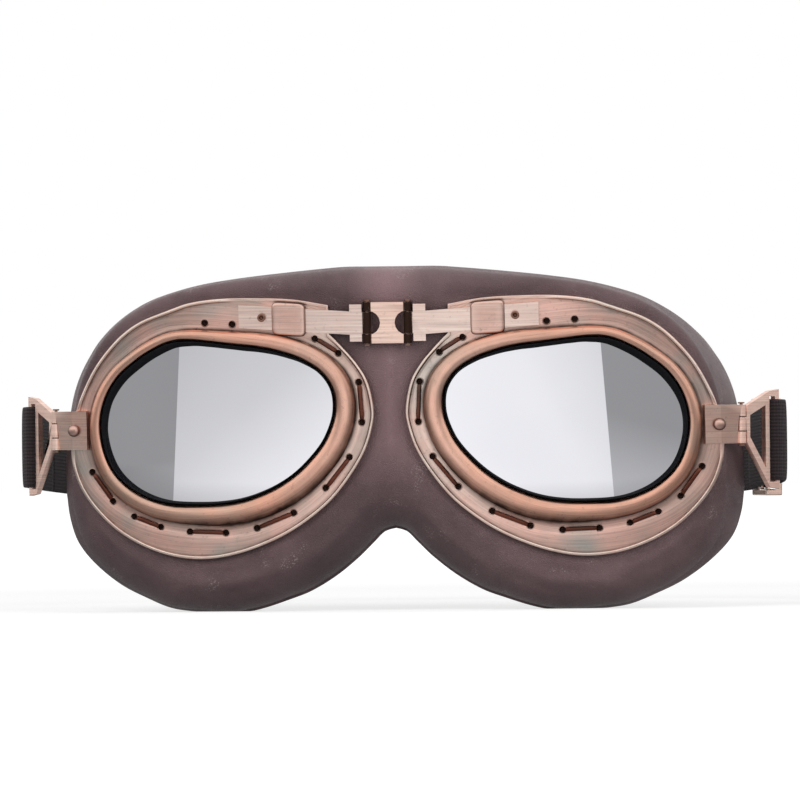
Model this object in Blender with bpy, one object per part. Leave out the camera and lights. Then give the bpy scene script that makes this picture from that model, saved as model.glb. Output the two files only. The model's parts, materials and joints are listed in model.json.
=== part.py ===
"""Pilot goggles: two copper eye frames laced to a padded leather mask, linked by a hinged nose bridge.

Metres, +Z up, as worn. The goggles look towards -Y, the plane x = 0 passes through the nose bridge, and
the two lower lobes of the mask stand on z = 0. Each eye is drawn once in a front view, as a distance u
outwards from the middle and a height z, and is laid on a surface that wraps back round the face.
"""
import math

import bmesh
import bpy
import numpy as np
from mathutils import Vector

# The front surface that the eye frames lie on
FRONT_SLOPE_DEG = 6.0
SIDE_SLOPE_DEG = 23.0
PITCH_DEG = 8.0
BRIDGE_FLAT = 0.004
CREASE_OUT = 0.0117
CREASE_SPLAY_SHARE = 0.067
BEND_WIDTH = 0.004

# The eye opening, about its own centre
EYE_Z = 0.0525
EYE_HALF_WIDTH = 0.0335
EYE_HALF_HEIGHT = 0.0221
opening_shares = [
    (1.0, 0.0), (0.953, 0.307), (0.844, 0.570), (0.693, 0.763), (0.541, 0.905), (0.385, 0.998),
    (0.222, 1.018), (0.070, 1.000), (-0.068, 0.975), (-0.204, 0.950), (-0.354, 0.922), (-0.521, 0.867),
    (-0.705, 0.767), (-0.866, 0.610), (-0.960, 0.394), (-0.975, 0.130), (-0.925, -0.123),
    (-0.839, -0.341), (-0.680, -0.595), (-0.513, -0.777), (-0.343, -0.901), (-0.175, -0.980),
    (0.0, -1.018), (0.182, -1.025), (0.387, -1.010), (0.571, -0.950), (0.751, -0.815), (0.897, -0.600),
    (0.978, -0.315)]

# Raised bezel round the opening
BEZEL_WIDTH = 0.0048
BEZEL_LEAN_SHARE = 0.38
BEZEL_LEAN_DEG = 225.0
BEZEL_HEIGHT = 0.0042
BEZEL_LIP = 0.0010
bezel_crown_shares = [0.2, 0.55, 0.85]

# Copper frame plate, drawn about the eye's centre, and how far it stays from the middle
FLANGE_SIDE = 0.0046
FLANGE_RISE = 0.0073
FRAME_SPACING = 0.00436
FRAME_WALL = 0.0009
FRAME_EDGE_ROLL = 0.0007
frame_round_shares = [
    (0.3029, 0.9163), (0.4915, 0.8301), (0.6186, 0.7338), (0.7267, 0.6071), (0.8241, 0.455),
    (0.8983, 0.2902), (0.9534, 0.1254), (0.9915, -0.0723), (1, -0.2549), (0.9788, -0.407),
    (0.9237, -0.5641), (0.8305, -0.7188), (0.7076, -0.8633), (0.555, -0.9799), (0.3898, -1.061),
    (0.2245, -1.1016), (0.0592, -1.1041), (-0.1167, -1.0636), (-0.2798, -0.9951), (-0.4408, -0.9013),
    (-0.5892, -0.7822), (-0.7332, -0.6301), (-0.8583, -0.4374), (-0.9557, -0.2346), (-1.0066, -0.0394),
    (-1.0172, 0.1051), (-0.979, 0.3231), (-0.9006, 0.4854), (-0.8116, 0.6121), (-0.7375, 0.7009)]
frame_step_shares = [
    (-0.7375, 0.7009), (-0.7332, 0.9366)]
frame_top_shares = [
    (-0.7332, 0.9366), (-0.5044, 0.9848), (-0.2501, 1), (-0.0171, 0.9975), (0.1736, 0.967),
    (0.3029, 0.9163)]

# Lacing holes in the frame plate and the copper staples in them
HOLE_INSET = 0.0020
HOLE_RADIUS = 0.0009
LACE_START_DEG = 83.0
LACE_END_DEG = 340.0
lace_place_shares = [0.0, 0.049, 0.199, 0.248, 0.311, 0.382, 0.448, 0.517, 0.59, 0.661, 0.718, 0.782,
                     0.836, 0.888, 0.936, 1.0]
LACE_RADIUS = 0.00042
LACE_RISE = 0.00085

# Lens, its rubber gasket and the ring behind the frame plate
LENS_WALL = 0.0016
LENS_SET_BACK = 0.0010
GASKET_WALL = 0.0012
GASKET_LIP = 0.0018
GASKET_FRONT = 0.0034
RETAINER_WIDTH = 0.0030
RETAINER_WALL = 0.0009

# Padded leather mask, drawn from the middle plane outwards and up from the floor
MASK_SIDE_MARGIN = 0.0041
MASK_TOP_MARGIN = 0.0078
MASK_CUT_U = 0.0070
mask_bottom_shares = [
    (1.0, 0.35), (0.990, 0.275), (0.964, 0.205), (0.908, 0.138), (0.829, 0.079), (0.747, 0.034),
    (0.674, 0.003), (0.6, -0.005), (0.526, -0.007), (0.463, -0.003), (0.395, 0.015), (0.321, 0.038),
    (0.253, 0.066), (0.179, 0.110), (0.116, 0.160)]
MASK_NOSE_Z = 0.0190
MASK_NOSE_ARCH = 0.0045
mask_top_shares = [
    (0.13, 1.0), (0.19, 0.996), (0.321, 0.984), (0.463, 0.968), (0.579, 0.949), (0.695, 0.917),
    (0.768, 0.884), (0.832, 0.842), (0.884, 0.793), (0.918, 0.747), (0.945, 0.702), (0.966, 0.652),
    (0.980, 0.600), (0.991, 0.529), (0.999, 0.444), (1.0, 0.35)]
MASK_NOSE_DEPTH = 0.01413
MASK_SIDE_DEPTH = 0.0500
MASK_FLARE = 0.0035
MASK_ROLL = 0.0070
MASK_REAR_ROLL = 0.0030
MASK_CUT_ROLL = 0.0016
MASK_ROLL_LIMIT_SHARE = 0.62
MASK_REAR_ROLL_LIMIT_SHARE = 0.25
LEATHER_WALL = 0.0012
LINING_WALL = 0.0015
NOSE_RECESS = 0.0008

# Nose bridge: centre plate, knuckles, pins and arms
BRIDGE_RISE = 0.0049
BRIDGE_HEIGHT = 0.0113
BRIDGE_HALF_WIDTH = 0.0053
NOTCH_RADIUS = 0.0033
PLATE_WALL = 0.0009
HINGE_OUT = 0.0003
KNUCKLE_RADIUS = 0.0012
KNUCKLE_END = 0.0024
PIN_RADIUS = 0.00045
PIN_HEAD_RADIUS = 0.0009
PIN_HEAD = 0.0004
ARM_HEIGHT = 0.0064
ARM_TILT_DEG = 4.0
ARM_HEAD_HEIGHT = 0.0102
ARM_HEAD_WIDTH = 0.0034
ARM_BARE_LENGTH = 0.0126
KEEPER_WIDTH = 0.0094
KEEPER_LIP = 0.0007
ARM_RIVET_SPACING = 0.0029
ARM_TAIL = 0.0061
ARM_RIVET_RADIUS = 0.0011
ARM_RIVET_BORE = 0.0005
ARM_RIVET_RISE = 0.0006

# Side plate, its rivet and the hinge of the strap loop
SIDE_BEND_INSET = 0.0012
SIDE_DROP = 0.0019
SIDE_HEIGHT = 0.0107
SIDE_WALL = 0.0010
SIDE_RIVET_INSET = 0.0015
SIDE_RIVET_RADIUS = 0.0017
SIDE_RIVET_RISE = 0.0012
LOOP_HINGE_OUT = 0.0046
LOOP_HINGE_BACK = 0.00438
LOOP_KNUCKLE_RADIUS = 0.0013
LOOP_KNUCKLE_END = 0.0032

# Strap loop, drawn from its hinge outwards
LOOP_SWING_DEG = 60.0
LOOP_WALL = 0.0014
LOOP_START = 0.0017
LOOP_INNER_BAR = 0.0017
LOOP_WINDOW_LENGTH = 0.0078
LOOP_MIDDLE_BAR = 0.0020
LOOP_SLOT_ROOM = 0.0005
LOOP_OUTER_BAR = 0.0021
LOOP_NARROW_HEIGHT = 0.0100
LOOP_RAIL = 0.0015
LOOP_TIP = 0.0020
LOOP_WINDOW_WALL = 0.0032

# Elastic head strap, its slider and its sewn tack
STRAP_WIDTH = 0.0225
STRAP_WALL = 0.0013
STRAP_LOW = 0.0043
STRAP_DEPTH = 0.1520
STRAP_DROOP = 0.0060
STRAP_SIDE_LEAN = 0.0020
STRAP_SIDE_REACH = 0.0560
STRAP_REAR_REACH = 0.0620
STRAP_LAYER_GAP = 0.0005
STRAP_SEWN_RETURN = 0.0200
SLID_EASE = 1.2
SLIDER_DISTANCE = 0.0380
SLIDER_LENGTH = 0.0130
SLIDER_BAR = 0.0022
SLIDER_WALL = 0.0012
SLIDER_RAIL = 0.0018
TACK_DISTANCE = 0.0140
TACK_HEIGHT = 0.0170
TACK_WIDTH = 0.0022
TACK_RISE = 0.0005

# Clearance between pieces that touch, and how far a cutter passes through
GAP = 0.0003
OVERRUN = 0.0020

# Points round each outline: three runs from the crease below to the crease above, and the temple
MASK_RUN_COUNTS = (10, 10, 8)
FRAME_RUN_COUNTS = (19, 2, 7)
OPENING_COUNT = sum(MASK_RUN_COUNTS)
TEMPLE_COUNT = 14
ROUND_SIDES = 12
FOLD_COUNT = 6
ARC_COUNT = 25
SMOOTH_DEG = 40.0
FACET_DEG = 12.0

COPPER = ((0.42, 0.22, 0.15), 0.38, 1.0)
BRIGHT_COPPER = ((0.62, 0.36, 0.27), 0.30, 1.0)
RUST_COPPER = ((0.28, 0.12, 0.08), 0.5, 1.0)
LEATHER = ((0.17, 0.115, 0.115), 0.6, 0.0)
FOAM = ((0.05, 0.045, 0.045), 0.95, 0.0)
FLEECE = ((0.06, 0.045, 0.04), 0.95, 0.0)
RUBBER = ((0.015, 0.015, 0.017), 0.6, 0.0)
MIRROR_LENS = ((0.66, 0.66, 0.69), 0.12, 0.0)
ELASTIC = ((0.035, 0.02, 0.022), 0.85, 0.0)
DARK_COPPER = ((0.30, 0.16, 0.11), 0.42, 1.0)

FRONT_TAN = math.tan(math.radians(FRONT_SLOPE_DEG))
SIDE_TAN = math.tan(math.radians(SIDE_SLOPE_DEG))
PITCH_TAN = math.tan(math.radians(PITCH_DEG))
LEATHER_BACK = FRAME_WALL + GAP

# Places that follow from the sizes above
FRAME_HALF_WIDTH = EYE_HALF_WIDTH + BEZEL_WIDTH + FLANGE_SIDE
FRAME_HALF_HEIGHT = EYE_HALF_HEIGHT + BEZEL_WIDTH + FLANGE_RISE
EYE_U = FRAME_SPACING - FRAME_HALF_WIDTH * min(u for u, _ in frame_round_shares)
CREASE_U = EYE_U + CREASE_OUT
FRAME_REACH = EYE_U + FRAME_HALF_WIDTH
MASK_REACH = FRAME_REACH + MASK_SIDE_MARGIN
MASK_TOP = EYE_Z + FRAME_HALF_HEIGHT + MASK_TOP_MARGIN
MASK_EYE_MARGIN = RETAINER_WIDTH + 2 * GAP
BRIDGE_Z = EYE_Z + EYE_HALF_HEIGHT + BRIDGE_RISE
MASK_NOSE_APEX_Z = MASK_NOSE_Z + MASK_NOSE_ARCH
MASK_CENTRE_DEPTH = (BRIDGE_Z - MASK_NOSE_APEX_Z) * PITCH_TAN + MASK_NOSE_DEPTH
HINGE_U = BRIDGE_HALF_WIDTH + HINGE_OUT
HINGE_Y = -(GAP + PLATE_WALL / 2)
KNUCKLE_BORE = PIN_RADIUS + GAP
ARM_HEAD_U = HINGE_U + KNUCKLE_RADIUS + GAP
ARM_HEAD_END_U = ARM_HEAD_U + ARM_HEAD_WIDTH
KEEPER_U = ARM_HEAD_END_U + ARM_BARE_LENGTH + KEEPER_WIDTH / 2
KEEPER_HEIGHT = ARM_HEIGHT + 2 * (GAP + KEEPER_LIP)
ARM_RIVET_U = KEEPER_U + KEEPER_WIDTH / 2 + ARM_RIVET_SPACING
ARM_END_U = ARM_RIVET_U + ARM_TAIL
SIDE_Z = EYE_Z - SIDE_DROP
SIDE_BEND_U = FRAME_REACH - SIDE_BEND_INSET
LOOP_HINGE_U = FRAME_REACH + LOOP_HINGE_OUT
LOOP_WINDOW_START = LOOP_START + LOOP_INNER_BAR
LOOP_WINDOW_END = LOOP_WINDOW_START + LOOP_WINDOW_LENGTH
LOOP_SLOT_START = LOOP_WINDOW_END + LOOP_MIDDLE_BAR
LOOP_BAR_START = LOOP_SLOT_START + LOOP_WALL / 2 + GAP + STRAP_WALL + LOOP_SLOT_ROOM
LOOP_END = LOOP_BAR_START + LOOP_OUTER_BAR
STRAP_Z = SIDE_Z - STRAP_LOW
STRAP_HALF_SLOT = STRAP_WIDTH / 2 + 2 * GAP


def front_y(u, z, softness=BEND_WIDTH):
    """Depth of the front surface: flat at the bridge, sloped past it, and steeper past the crease."""
    crease = CREASE_U + (EYE_Z - z) * CREASE_SPLAY_SHARE
    over = u - crease
    bend = softness * np.logaddexp(0.0, over / softness) if softness else np.maximum(over, 0.0)
    slope = FRONT_TAN * np.maximum(u - BRIDGE_FLAT, 0.0)
    return slope + (SIDE_TAN - FRONT_TAN) * bend + (BRIDGE_Z - z) * PITCH_TAN


LOOP_HINGE_Y = float(front_y(FRAME_REACH, SIDE_Z)) + LOOP_HINGE_BACK


def rear_y(u):
    """Depth of the mask's face side, which curves back towards the temples as a parabola."""
    return MASK_CENTRE_DEPTH + (MASK_SIDE_DEPTH - MASK_CENTRE_DEPTH) * (u / MASK_REACH) ** 2


def spline(points, steps=12, closed=False):
    """Catmull-Rom curve through the points, as a dense polyline."""
    p = np.asarray(points, float)
    if closed:
        p = np.vstack([p[-1], p, p[:2]])
    else:
        p = np.vstack([2 * p[0] - p[1], p, 2 * p[-1] - p[-2]])
    t = np.linspace(0.0, 1.0, steps, endpoint=False)[:, None]
    runs = []
    for a, b, c, d in zip(p[:-3], p[1:-2], p[2:-1], p[3:]):
        runs.append(0.5 * (2 * b + (c - a) * t + (2 * a - 5 * b + 4 * c - d) * t ** 2
                           + (3 * b - a - 3 * c + d) * t ** 3))
    dense = np.vstack(runs)
    return dense if closed else np.vstack([dense, p[-2]])


def along(line, count):
    """Points at equal steps along a polyline, without its last point."""
    steps = np.linalg.norm(np.diff(line, axis=0), axis=1)
    walk = np.concatenate([[0.0], np.cumsum(steps)])
    places = np.linspace(0.0, walk[-1], count + 1)[:-1]
    return np.stack([np.interp(places, walk, line[:, k]) for k in range(2)], axis=1)


def by_angle(line, count):
    """Points at equal angles about the eye's centre along a clockwise polyline, without its last point."""
    angle = -np.unwrap(np.arctan2(line[:, 1] - EYE_Z, line[:, 0] - EYE_U))
    places = np.linspace(angle[0], angle[-1], count + 1)[:-1]
    return np.stack([np.interp(places, angle, line[:, k]) for k in range(2)], axis=1)


def crossings(line):
    """Indices where a closed outline crosses the crease line, upper one first."""
    over = line[:, 0] - (CREASE_U + (EYE_Z - line[:, 1]) * CREASE_SPLAY_SHARE)
    hits = [i for i in range(len(line)) if over[i - 1] * over[i] <= 0.0]
    hits.sort(key=lambda i: -line[i, 1])
    return hits[0], hits[-1]


def even_outline(line, corners=(), counts=(OPENING_COUNT,)):
    """Points round an outline: past the nose side from the crease below, then round the temple.

    Corners are the indices on the nose side that a run ends at, and counts are the points in each run.
    The nose side's runs have even steps, and the temple's have even angles about the eye.
    """
    top, bottom = crossings(line)
    turned = np.roll(line, -bottom, axis=0)
    total = len(line)
    anchors = [(i - bottom) % total for i in (*corners, top)]
    inner_side = turned[anchors[-1] // 2, 0] < CREASE_U
    if not inner_side:
        turned = np.roll(turned[::-1], 1, axis=0)
        anchors = [(total - a) % total for a in anchors]
    stops = [0, *anchors, total]
    closed = np.vstack([turned, turned[:1]])
    runs = [along(closed[a:b + 1], n) for a, b, n in zip(stops[:-2], stops[1:-1], counts)]
    return np.vstack([*runs, by_angle(closed[anchors[-1]:], TEMPLE_COUNT)])


def outward(points):
    """Unit vectors that point out of a closed outline, at its points."""
    run = np.roll(points, -1, axis=0) - np.roll(points, 1, axis=0)
    side = np.stack([run[:, 1], -run[:, 0]], axis=1)
    side /= np.linalg.norm(side, axis=1)[:, None]
    centre = np.array([EYE_U, EYE_Z])
    flip = np.sign(np.sum(side * (points - centre), axis=1).sum())
    return side * flip


def opening_outline():
    """The lens opening's outline, and which way is out at each point."""
    size = np.array([EYE_HALF_WIDTH, EYE_HALF_HEIGHT])
    points = np.array([EYE_U, EYE_Z]) + np.array(opening_shares) * size
    line = even_outline(spline(points, closed=True))
    return line, outward(line)


def bezel_widths(points):
    """The bezel's width round the opening: wider towards the lower nose side."""
    angle = np.arctan2(points[:, 1] - EYE_Z, points[:, 0] - EYE_U)
    return BEZEL_WIDTH * (1 + BEZEL_LEAN_SHARE * np.cos(angle - math.radians(BEZEL_LEAN_DEG)))


def frame_outline():
    """The frame plate's outline, with the two corners of its step beside the bridge."""
    centre = np.array([EYE_U, EYE_Z])
    size = np.array([FRAME_HALF_WIDTH, FRAME_HALF_HEIGHT])
    curves = [spline(centre + np.array(shares) * size) for shares in
              (frame_round_shares, frame_step_shares, frame_top_shares)]
    line = np.vstack([c[:-1] for c in curves])
    lower = len(curves[0]) - 1
    upper = lower + len(curves[1]) - 1
    return even_outline(line, (lower, upper), FRAME_RUN_COUNTS)


def mask_outline():
    """The mask half's outline, with the two ends of its straight cut beside the nose."""
    size = np.array([MASK_REACH, MASK_TOP])
    low = np.vstack([np.array(mask_bottom_shares) * size, [MASK_CUT_U, MASK_NOSE_Z]])
    high = np.vstack([[MASK_CUT_U, MASK_TOP], np.array(mask_top_shares) * size])
    low_line = spline(low)
    high_line = spline(high)
    cut = np.linspace(low_line[-1], high_line[0], ROUND_SIDES)
    line = np.vstack([low_line[:-1], cut[:-1], high_line[:-1]])
    lower = len(low_line) - 1
    upper = lower + len(cut) - 1
    return even_outline(line, (lower, upper), MASK_RUN_COUNTS)


def material(name, look):
    colour, roughness, metallic = look
    made = bpy.data.materials.get(name) or bpy.data.materials.new(name)
    made.use_nodes = True
    shader = made.node_tree.nodes["Principled BSDF"]
    shader.inputs["Base Color"].default_value = (*colour, 1.0)
    shader.inputs["Roughness"].default_value = roughness
    shader.inputs["Metallic"].default_value = metallic
    return made


def add_object(name, mesh, look=None, smooth_deg=SMOOTH_DEG):
    piece = bpy.data.objects.new(name, mesh)
    bpy.context.scene.collection.objects.link(piece)
    if look:
        mesh.materials.append(material(*look))
    mesh.shade_smooth()
    mesh.set_sharp_from_angle(angle=math.radians(smooth_deg))
    return piece


def mesh_of(name, points, faces):
    """A mesh with its four-sided faces split in two and all its faces turned outwards."""
    mesh = bpy.data.meshes.new(name)
    mesh.from_pydata([tuple(map(float, p)) for p in points], [], faces)
    work = bmesh.new()
    work.from_mesh(mesh)
    bmesh.ops.triangulate(work, faces=[face for face in work.faces if len(face.verts) == 4])
    bmesh.ops.recalc_face_normals(work, faces=work.faces)
    work.to_mesh(mesh)
    work.free()
    return mesh


def ring_mesh(name, loops):
    """A closed ring: each loop of points runs round it, and the loops follow one another round its wall."""
    loops = [np.asarray(loop) for loop in loops]
    m, n = len(loops), len(loops[0])
    faces = []
    for j in range(m):
        for i in range(n):
            nxt, up = (i + 1) % n, (j + 1) % m
            faces.append((j * n + i, j * n + nxt, up * n + nxt, up * n + i))
    return mesh_of(name, np.vstack(loops), faces)


def tube_mesh(name, rings):
    """A solid between capped rings of points."""
    rings = [np.asarray(ring) for ring in rings]
    m, n = len(rings), len(rings[0])
    faces = [tuple(range(n)), tuple((m - 1) * n + i for i in range(n))]
    for j in range(m - 1):
        for i in range(n):
            nxt = (i + 1) % n
            faces.append((j * n + i, j * n + nxt, (j + 1) * n + nxt, (j + 1) * n + i))
    return mesh_of(name, np.vstack(rings), faces)


def circle(radius, sides=ROUND_SIDES):
    turn = np.linspace(0.0, 2 * math.pi, sides, endpoint=False)
    return np.stack([radius * np.cos(turn), radius * np.sin(turn)], axis=1)


def upright_mesh(name, profile, centre, sides=ROUND_SIDES):
    """A turned solid on a vertical axis at centre (x, y): profile holds (radius, z) from its foot up."""
    rings = []
    for radius, z in profile:
        ring = circle(radius, sides)
        rings.append(np.column_stack([ring + np.array(centre), np.full(sides, z)]))
    return tube_mesh(name, rings)


def front_stud_mesh(name, profile, side, u, z, slope, sides=ROUND_SIDES):
    """A turned solid that stands out of the front surface: profile holds (radius, rise)."""
    normal = np.array([side * math.sin(slope), -math.cos(slope), 0.0])
    across = np.array([math.cos(slope), side * math.sin(slope), 0.0])
    foot = np.array([side * u, float(front_y(u, z)), z])
    rings = []
    for radius, rise in profile:
        ring = circle(radius, sides)
        rings.append(foot + normal * rise + ring[:, :1] * across + ring[:, 1:] * np.array([0.0, 0.0, 1.0]))
    return tube_mesh(name, rings)


def place(side, points, depth, softness=BEND_WIDTH):
    """Front view points laid at a depth behind the front surface, on one side of the middle."""
    points = np.asarray(points)
    y = front_y(points[:, 0], points[:, 1], softness) + depth
    return np.stack([side * points[:, 0], y, points[:, 1]], axis=1)


def sheet_mesh(name, side, outline, front, wall):
    """A plate with a front view outline that follows the front surface: front is its face's rise."""
    return tube_mesh(name, [place(side, outline, -front), place(side, outline, wall - front)])


def combine(target, tools, operation):
    """Join tools to the target, or cut them from it, and keep the result as its plain mesh."""
    for tool in tools:
        change = target.modifiers.new("change", "BOOLEAN")
        change.operation = operation
        change.object = tool
    graph = bpy.context.evaluated_depsgraph_get()
    result = bpy.data.meshes.new_from_object(target.evaluated_get(graph))
    target.modifiers.clear()
    target.data = result
    for tool in tools:
        bpy.data.objects.remove(tool)
    result.shade_smooth()
    result.set_sharp_from_angle(angle=math.radians(SMOOTH_DEG))


def helper(mesh):
    return add_object("helper", mesh)


def side_name(side):
    return "left" if side < 0 else "right"


# Eye frames

def make_bezel(side, opening, out):
    """The raised rim: a rounded copper section swept round the opening."""
    width = bezel_widths(opening)[:, None]
    crown_start, crown_end, shoulder = bezel_crown_shares
    profile = [(0.0, GAP), (0.0, BEZEL_HEIGHT - BEZEL_LIP), (crown_start, BEZEL_HEIGHT),
               (crown_end, BEZEL_HEIGHT - FRAME_EDGE_ROLL / 4), (shoulder, BEZEL_HEIGHT - BEZEL_LIP),
               (1.0, BEZEL_HEIGHT / 2), (1.0, GAP)]
    loops = [place(side, opening + out * width * share, -rise) for share, rise in profile]
    name = "bezel_" + side_name(side)
    return add_object(name, ring_mesh(name, loops), ("bezel copper", BRIGHT_COPPER))


def lace_places(opening, out):
    """Front view places of the lacing holes, on a line just outside the bezel."""
    line = opening + out * (bezel_widths(opening) + HOLE_INSET)[:, None]
    angle = np.degrees(np.arctan2(line[:, 1] - EYE_Z, line[:, 0] - EYE_U)) % 360.0
    order = np.argsort((angle - LACE_START_DEG) % 360.0)
    run = line[order]
    turned = (angle[order] - LACE_START_DEG) % 360.0
    run = run[turned <= LACE_END_DEG - LACE_START_DEG]
    steps = np.concatenate([[0.0], np.cumsum(np.linalg.norm(np.diff(run, axis=0), axis=1))])
    places = np.array(lace_place_shares) * steps[-1]
    return np.stack([np.interp(places, steps, run[:, k]) for k in range(2)], axis=1)


def make_frame(side, opening, out, holes):
    """The frame plate: a thin copper sheet from under the bezel to its rolled outer edge, with its holes."""
    inner = opening + out * (RETAINER_WALL)
    outer = frame_outline()
    ray = outer - inner
    ray /= np.linalg.norm(ray, axis=1)[:, None]
    near = outer - ray * FRAME_EDGE_ROLL * 2
    middle = (inner + near) / 2
    rolled = outer - ray * FRAME_EDGE_ROLL / 2
    loops = [place(side, inner, 0.0), place(side, middle, 0.0), place(side, near, 0.0),
             place(side, rolled, FRAME_EDGE_ROLL / 4), place(side, outer, FRAME_WALL / 2),
             place(side, outer, FRAME_WALL), place(side, middle, FRAME_WALL),
             place(side, inner, FRAME_WALL)]
    name = "frame_" + side_name(side)
    frame = add_object(name, ring_mesh(name, loops), ("frame copper", COPPER))
    drills = []
    for u, z in holes:
        ring = np.array([u, z]) + circle(HOLE_RADIUS, ROUND_SIDES - 2)
        drills.append(helper(sheet_mesh("drill", side, ring, OVERRUN, 2 * OVERRUN)))
    combine(frame, drills, "DIFFERENCE")
    return frame


def make_lace(side, number, a, b):
    """A copper staple between two neighbouring holes: two legs and a low bar, bent from one wire."""
    sides = ROUND_SIDES // 2
    legs = [(a, FRAME_WALL), (a, -LACE_RISE / 2), ((a + b) / 2, -LACE_RISE), (b, -LACE_RISE / 2),
            (b, FRAME_WALL)]
    path = [Vector(place(side, [spot], depth)[0]) for spot, depth in legs]
    cross = (path[1] - path[0]).cross(path[3] - path[1]).normalized()
    rings = []
    for k, spot in enumerate(path):
        run = (path[min(k + 1, len(path) - 1)] - path[max(k - 1, 0)]).normalized()
        lift = cross.cross(run).normalized()
        rings.append([spot + cross * c + lift * s for c, s in circle(LACE_RADIUS, sides)])
    name = f"lace_{side_name(side)}_{number}"
    return add_object(name, tube_mesh(name, rings), ("lacing copper", RUST_COPPER))


def make_gasket(side, opening, out):
    """The rubber seal: a wall inside the bezel with a groove that holds the lens's edge."""
    seat_front = LENS_SET_BACK - GAP
    seat_back = LENS_SET_BACK + LENS_WALL + GAP
    edge = GASKET_WALL
    profile = [(GAP, -GASKET_FRONT), (edge, -GASKET_FRONT), (edge + GAP, seat_front - GASKET_WALL),
               (GAP + GASKET_LIP, seat_front), (edge, seat_front), (edge, seat_back),
               (GAP + GASKET_LIP, seat_back), (edge, seat_back + GASKET_WALL / 2),
               (GAP, seat_back + GASKET_WALL / 2)]
    loops = [place(side, opening - out * inset, depth, 0.0) for inset, depth in profile]
    name = "gasket_" + side_name(side)
    return add_object(name, ring_mesh(name, loops), ("gasket rubber", RUBBER))


def make_lens(side, opening, out):
    """The lens: one sheet folded once along the crease, so both facets stay flat."""
    edge = opening - out * (GASKET_WALL + GAP)
    count = len(edge)
    fronts = place(side, edge, LENS_SET_BACK, 0.0)
    backs = place(side, edge, LENS_SET_BACK + LENS_WALL, 0.0)
    inner = list(range(OPENING_COUNT + 1))
    outer = [*range(OPENING_COUNT, count), 0]
    faces = [tuple(inner), tuple(outer), tuple(count + i for i in inner), tuple(count + i for i in outer)]
    for i in range(count):
        nxt = (i + 1) % count
        faces.append((i, nxt, count + nxt, count + i))
    name = "lens_" + side_name(side)
    mesh = mesh_of(name, np.vstack([fronts, backs]), faces)
    return add_object(name, mesh, ("lens", MIRROR_LENS), FACET_DEG)


def make_retainer(side, opening, out):
    """The flat ring behind the frame plate that clamps the leather's edge."""
    depth = LEATHER_BACK
    spans = [(GAP, depth), (RETAINER_WIDTH, depth), (RETAINER_WIDTH, depth + RETAINER_WALL),
             (GAP, depth + RETAINER_WALL)]
    loops = [place(side, opening + out * reach, back) for reach, back in spans]
    name = "retainer_" + side_name(side)
    return add_object(name, ring_mesh(name, loops), ("retainer copper", DARK_COPPER))


# Mask

def mask_lines():
    """Outlines of a mask half: eye hole, front edge and rear edge, the way out, and each point's rolls."""
    opening, out = opening_outline()
    hole = opening + out * MASK_EYE_MARGIN
    rear = mask_outline()
    ray = rear - hole
    ray /= np.linalg.norm(ray, axis=1)[:, None]
    side_share = np.clip((rear[:, 0] - EYE_U) / (MASK_REACH - EYE_U), 0.0, 1.0) ** 2
    front = rear - np.column_stack([side_share * MASK_FLARE, np.zeros(len(rear))])
    grown = MASK_CUT_ROLL + np.maximum(rear[:, :1] - MASK_CUT_U, 0.0)
    depth = rear_y(rear[:, :1]) - front_y(front[:, :1], front[:, 1:]) - LEATHER_BACK
    reach = np.linalg.norm(front[:, None] - hole[None], axis=2).min(axis=1)[:, None]
    room = np.minimum(depth, reach)
    roll = np.minimum(np.minimum(grown, MASK_ROLL), room * MASK_ROLL_LIMIT_SHARE)
    rear_roll = np.minimum(np.minimum(grown, MASK_REAR_ROLL), room * MASK_REAR_ROLL_LIMIT_SHARE)
    rear_roll = np.maximum(rear_roll, LEATHER_WALL + GAP)
    return hole, front, rear, ray, roll, rear_roll


def mask_place(side, line, y):
    points = np.stack([side * line[:, 0], y, line[:, 1]], axis=1)
    points[:, 2] = np.maximum(points[:, 2], 0.0)
    return points


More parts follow.
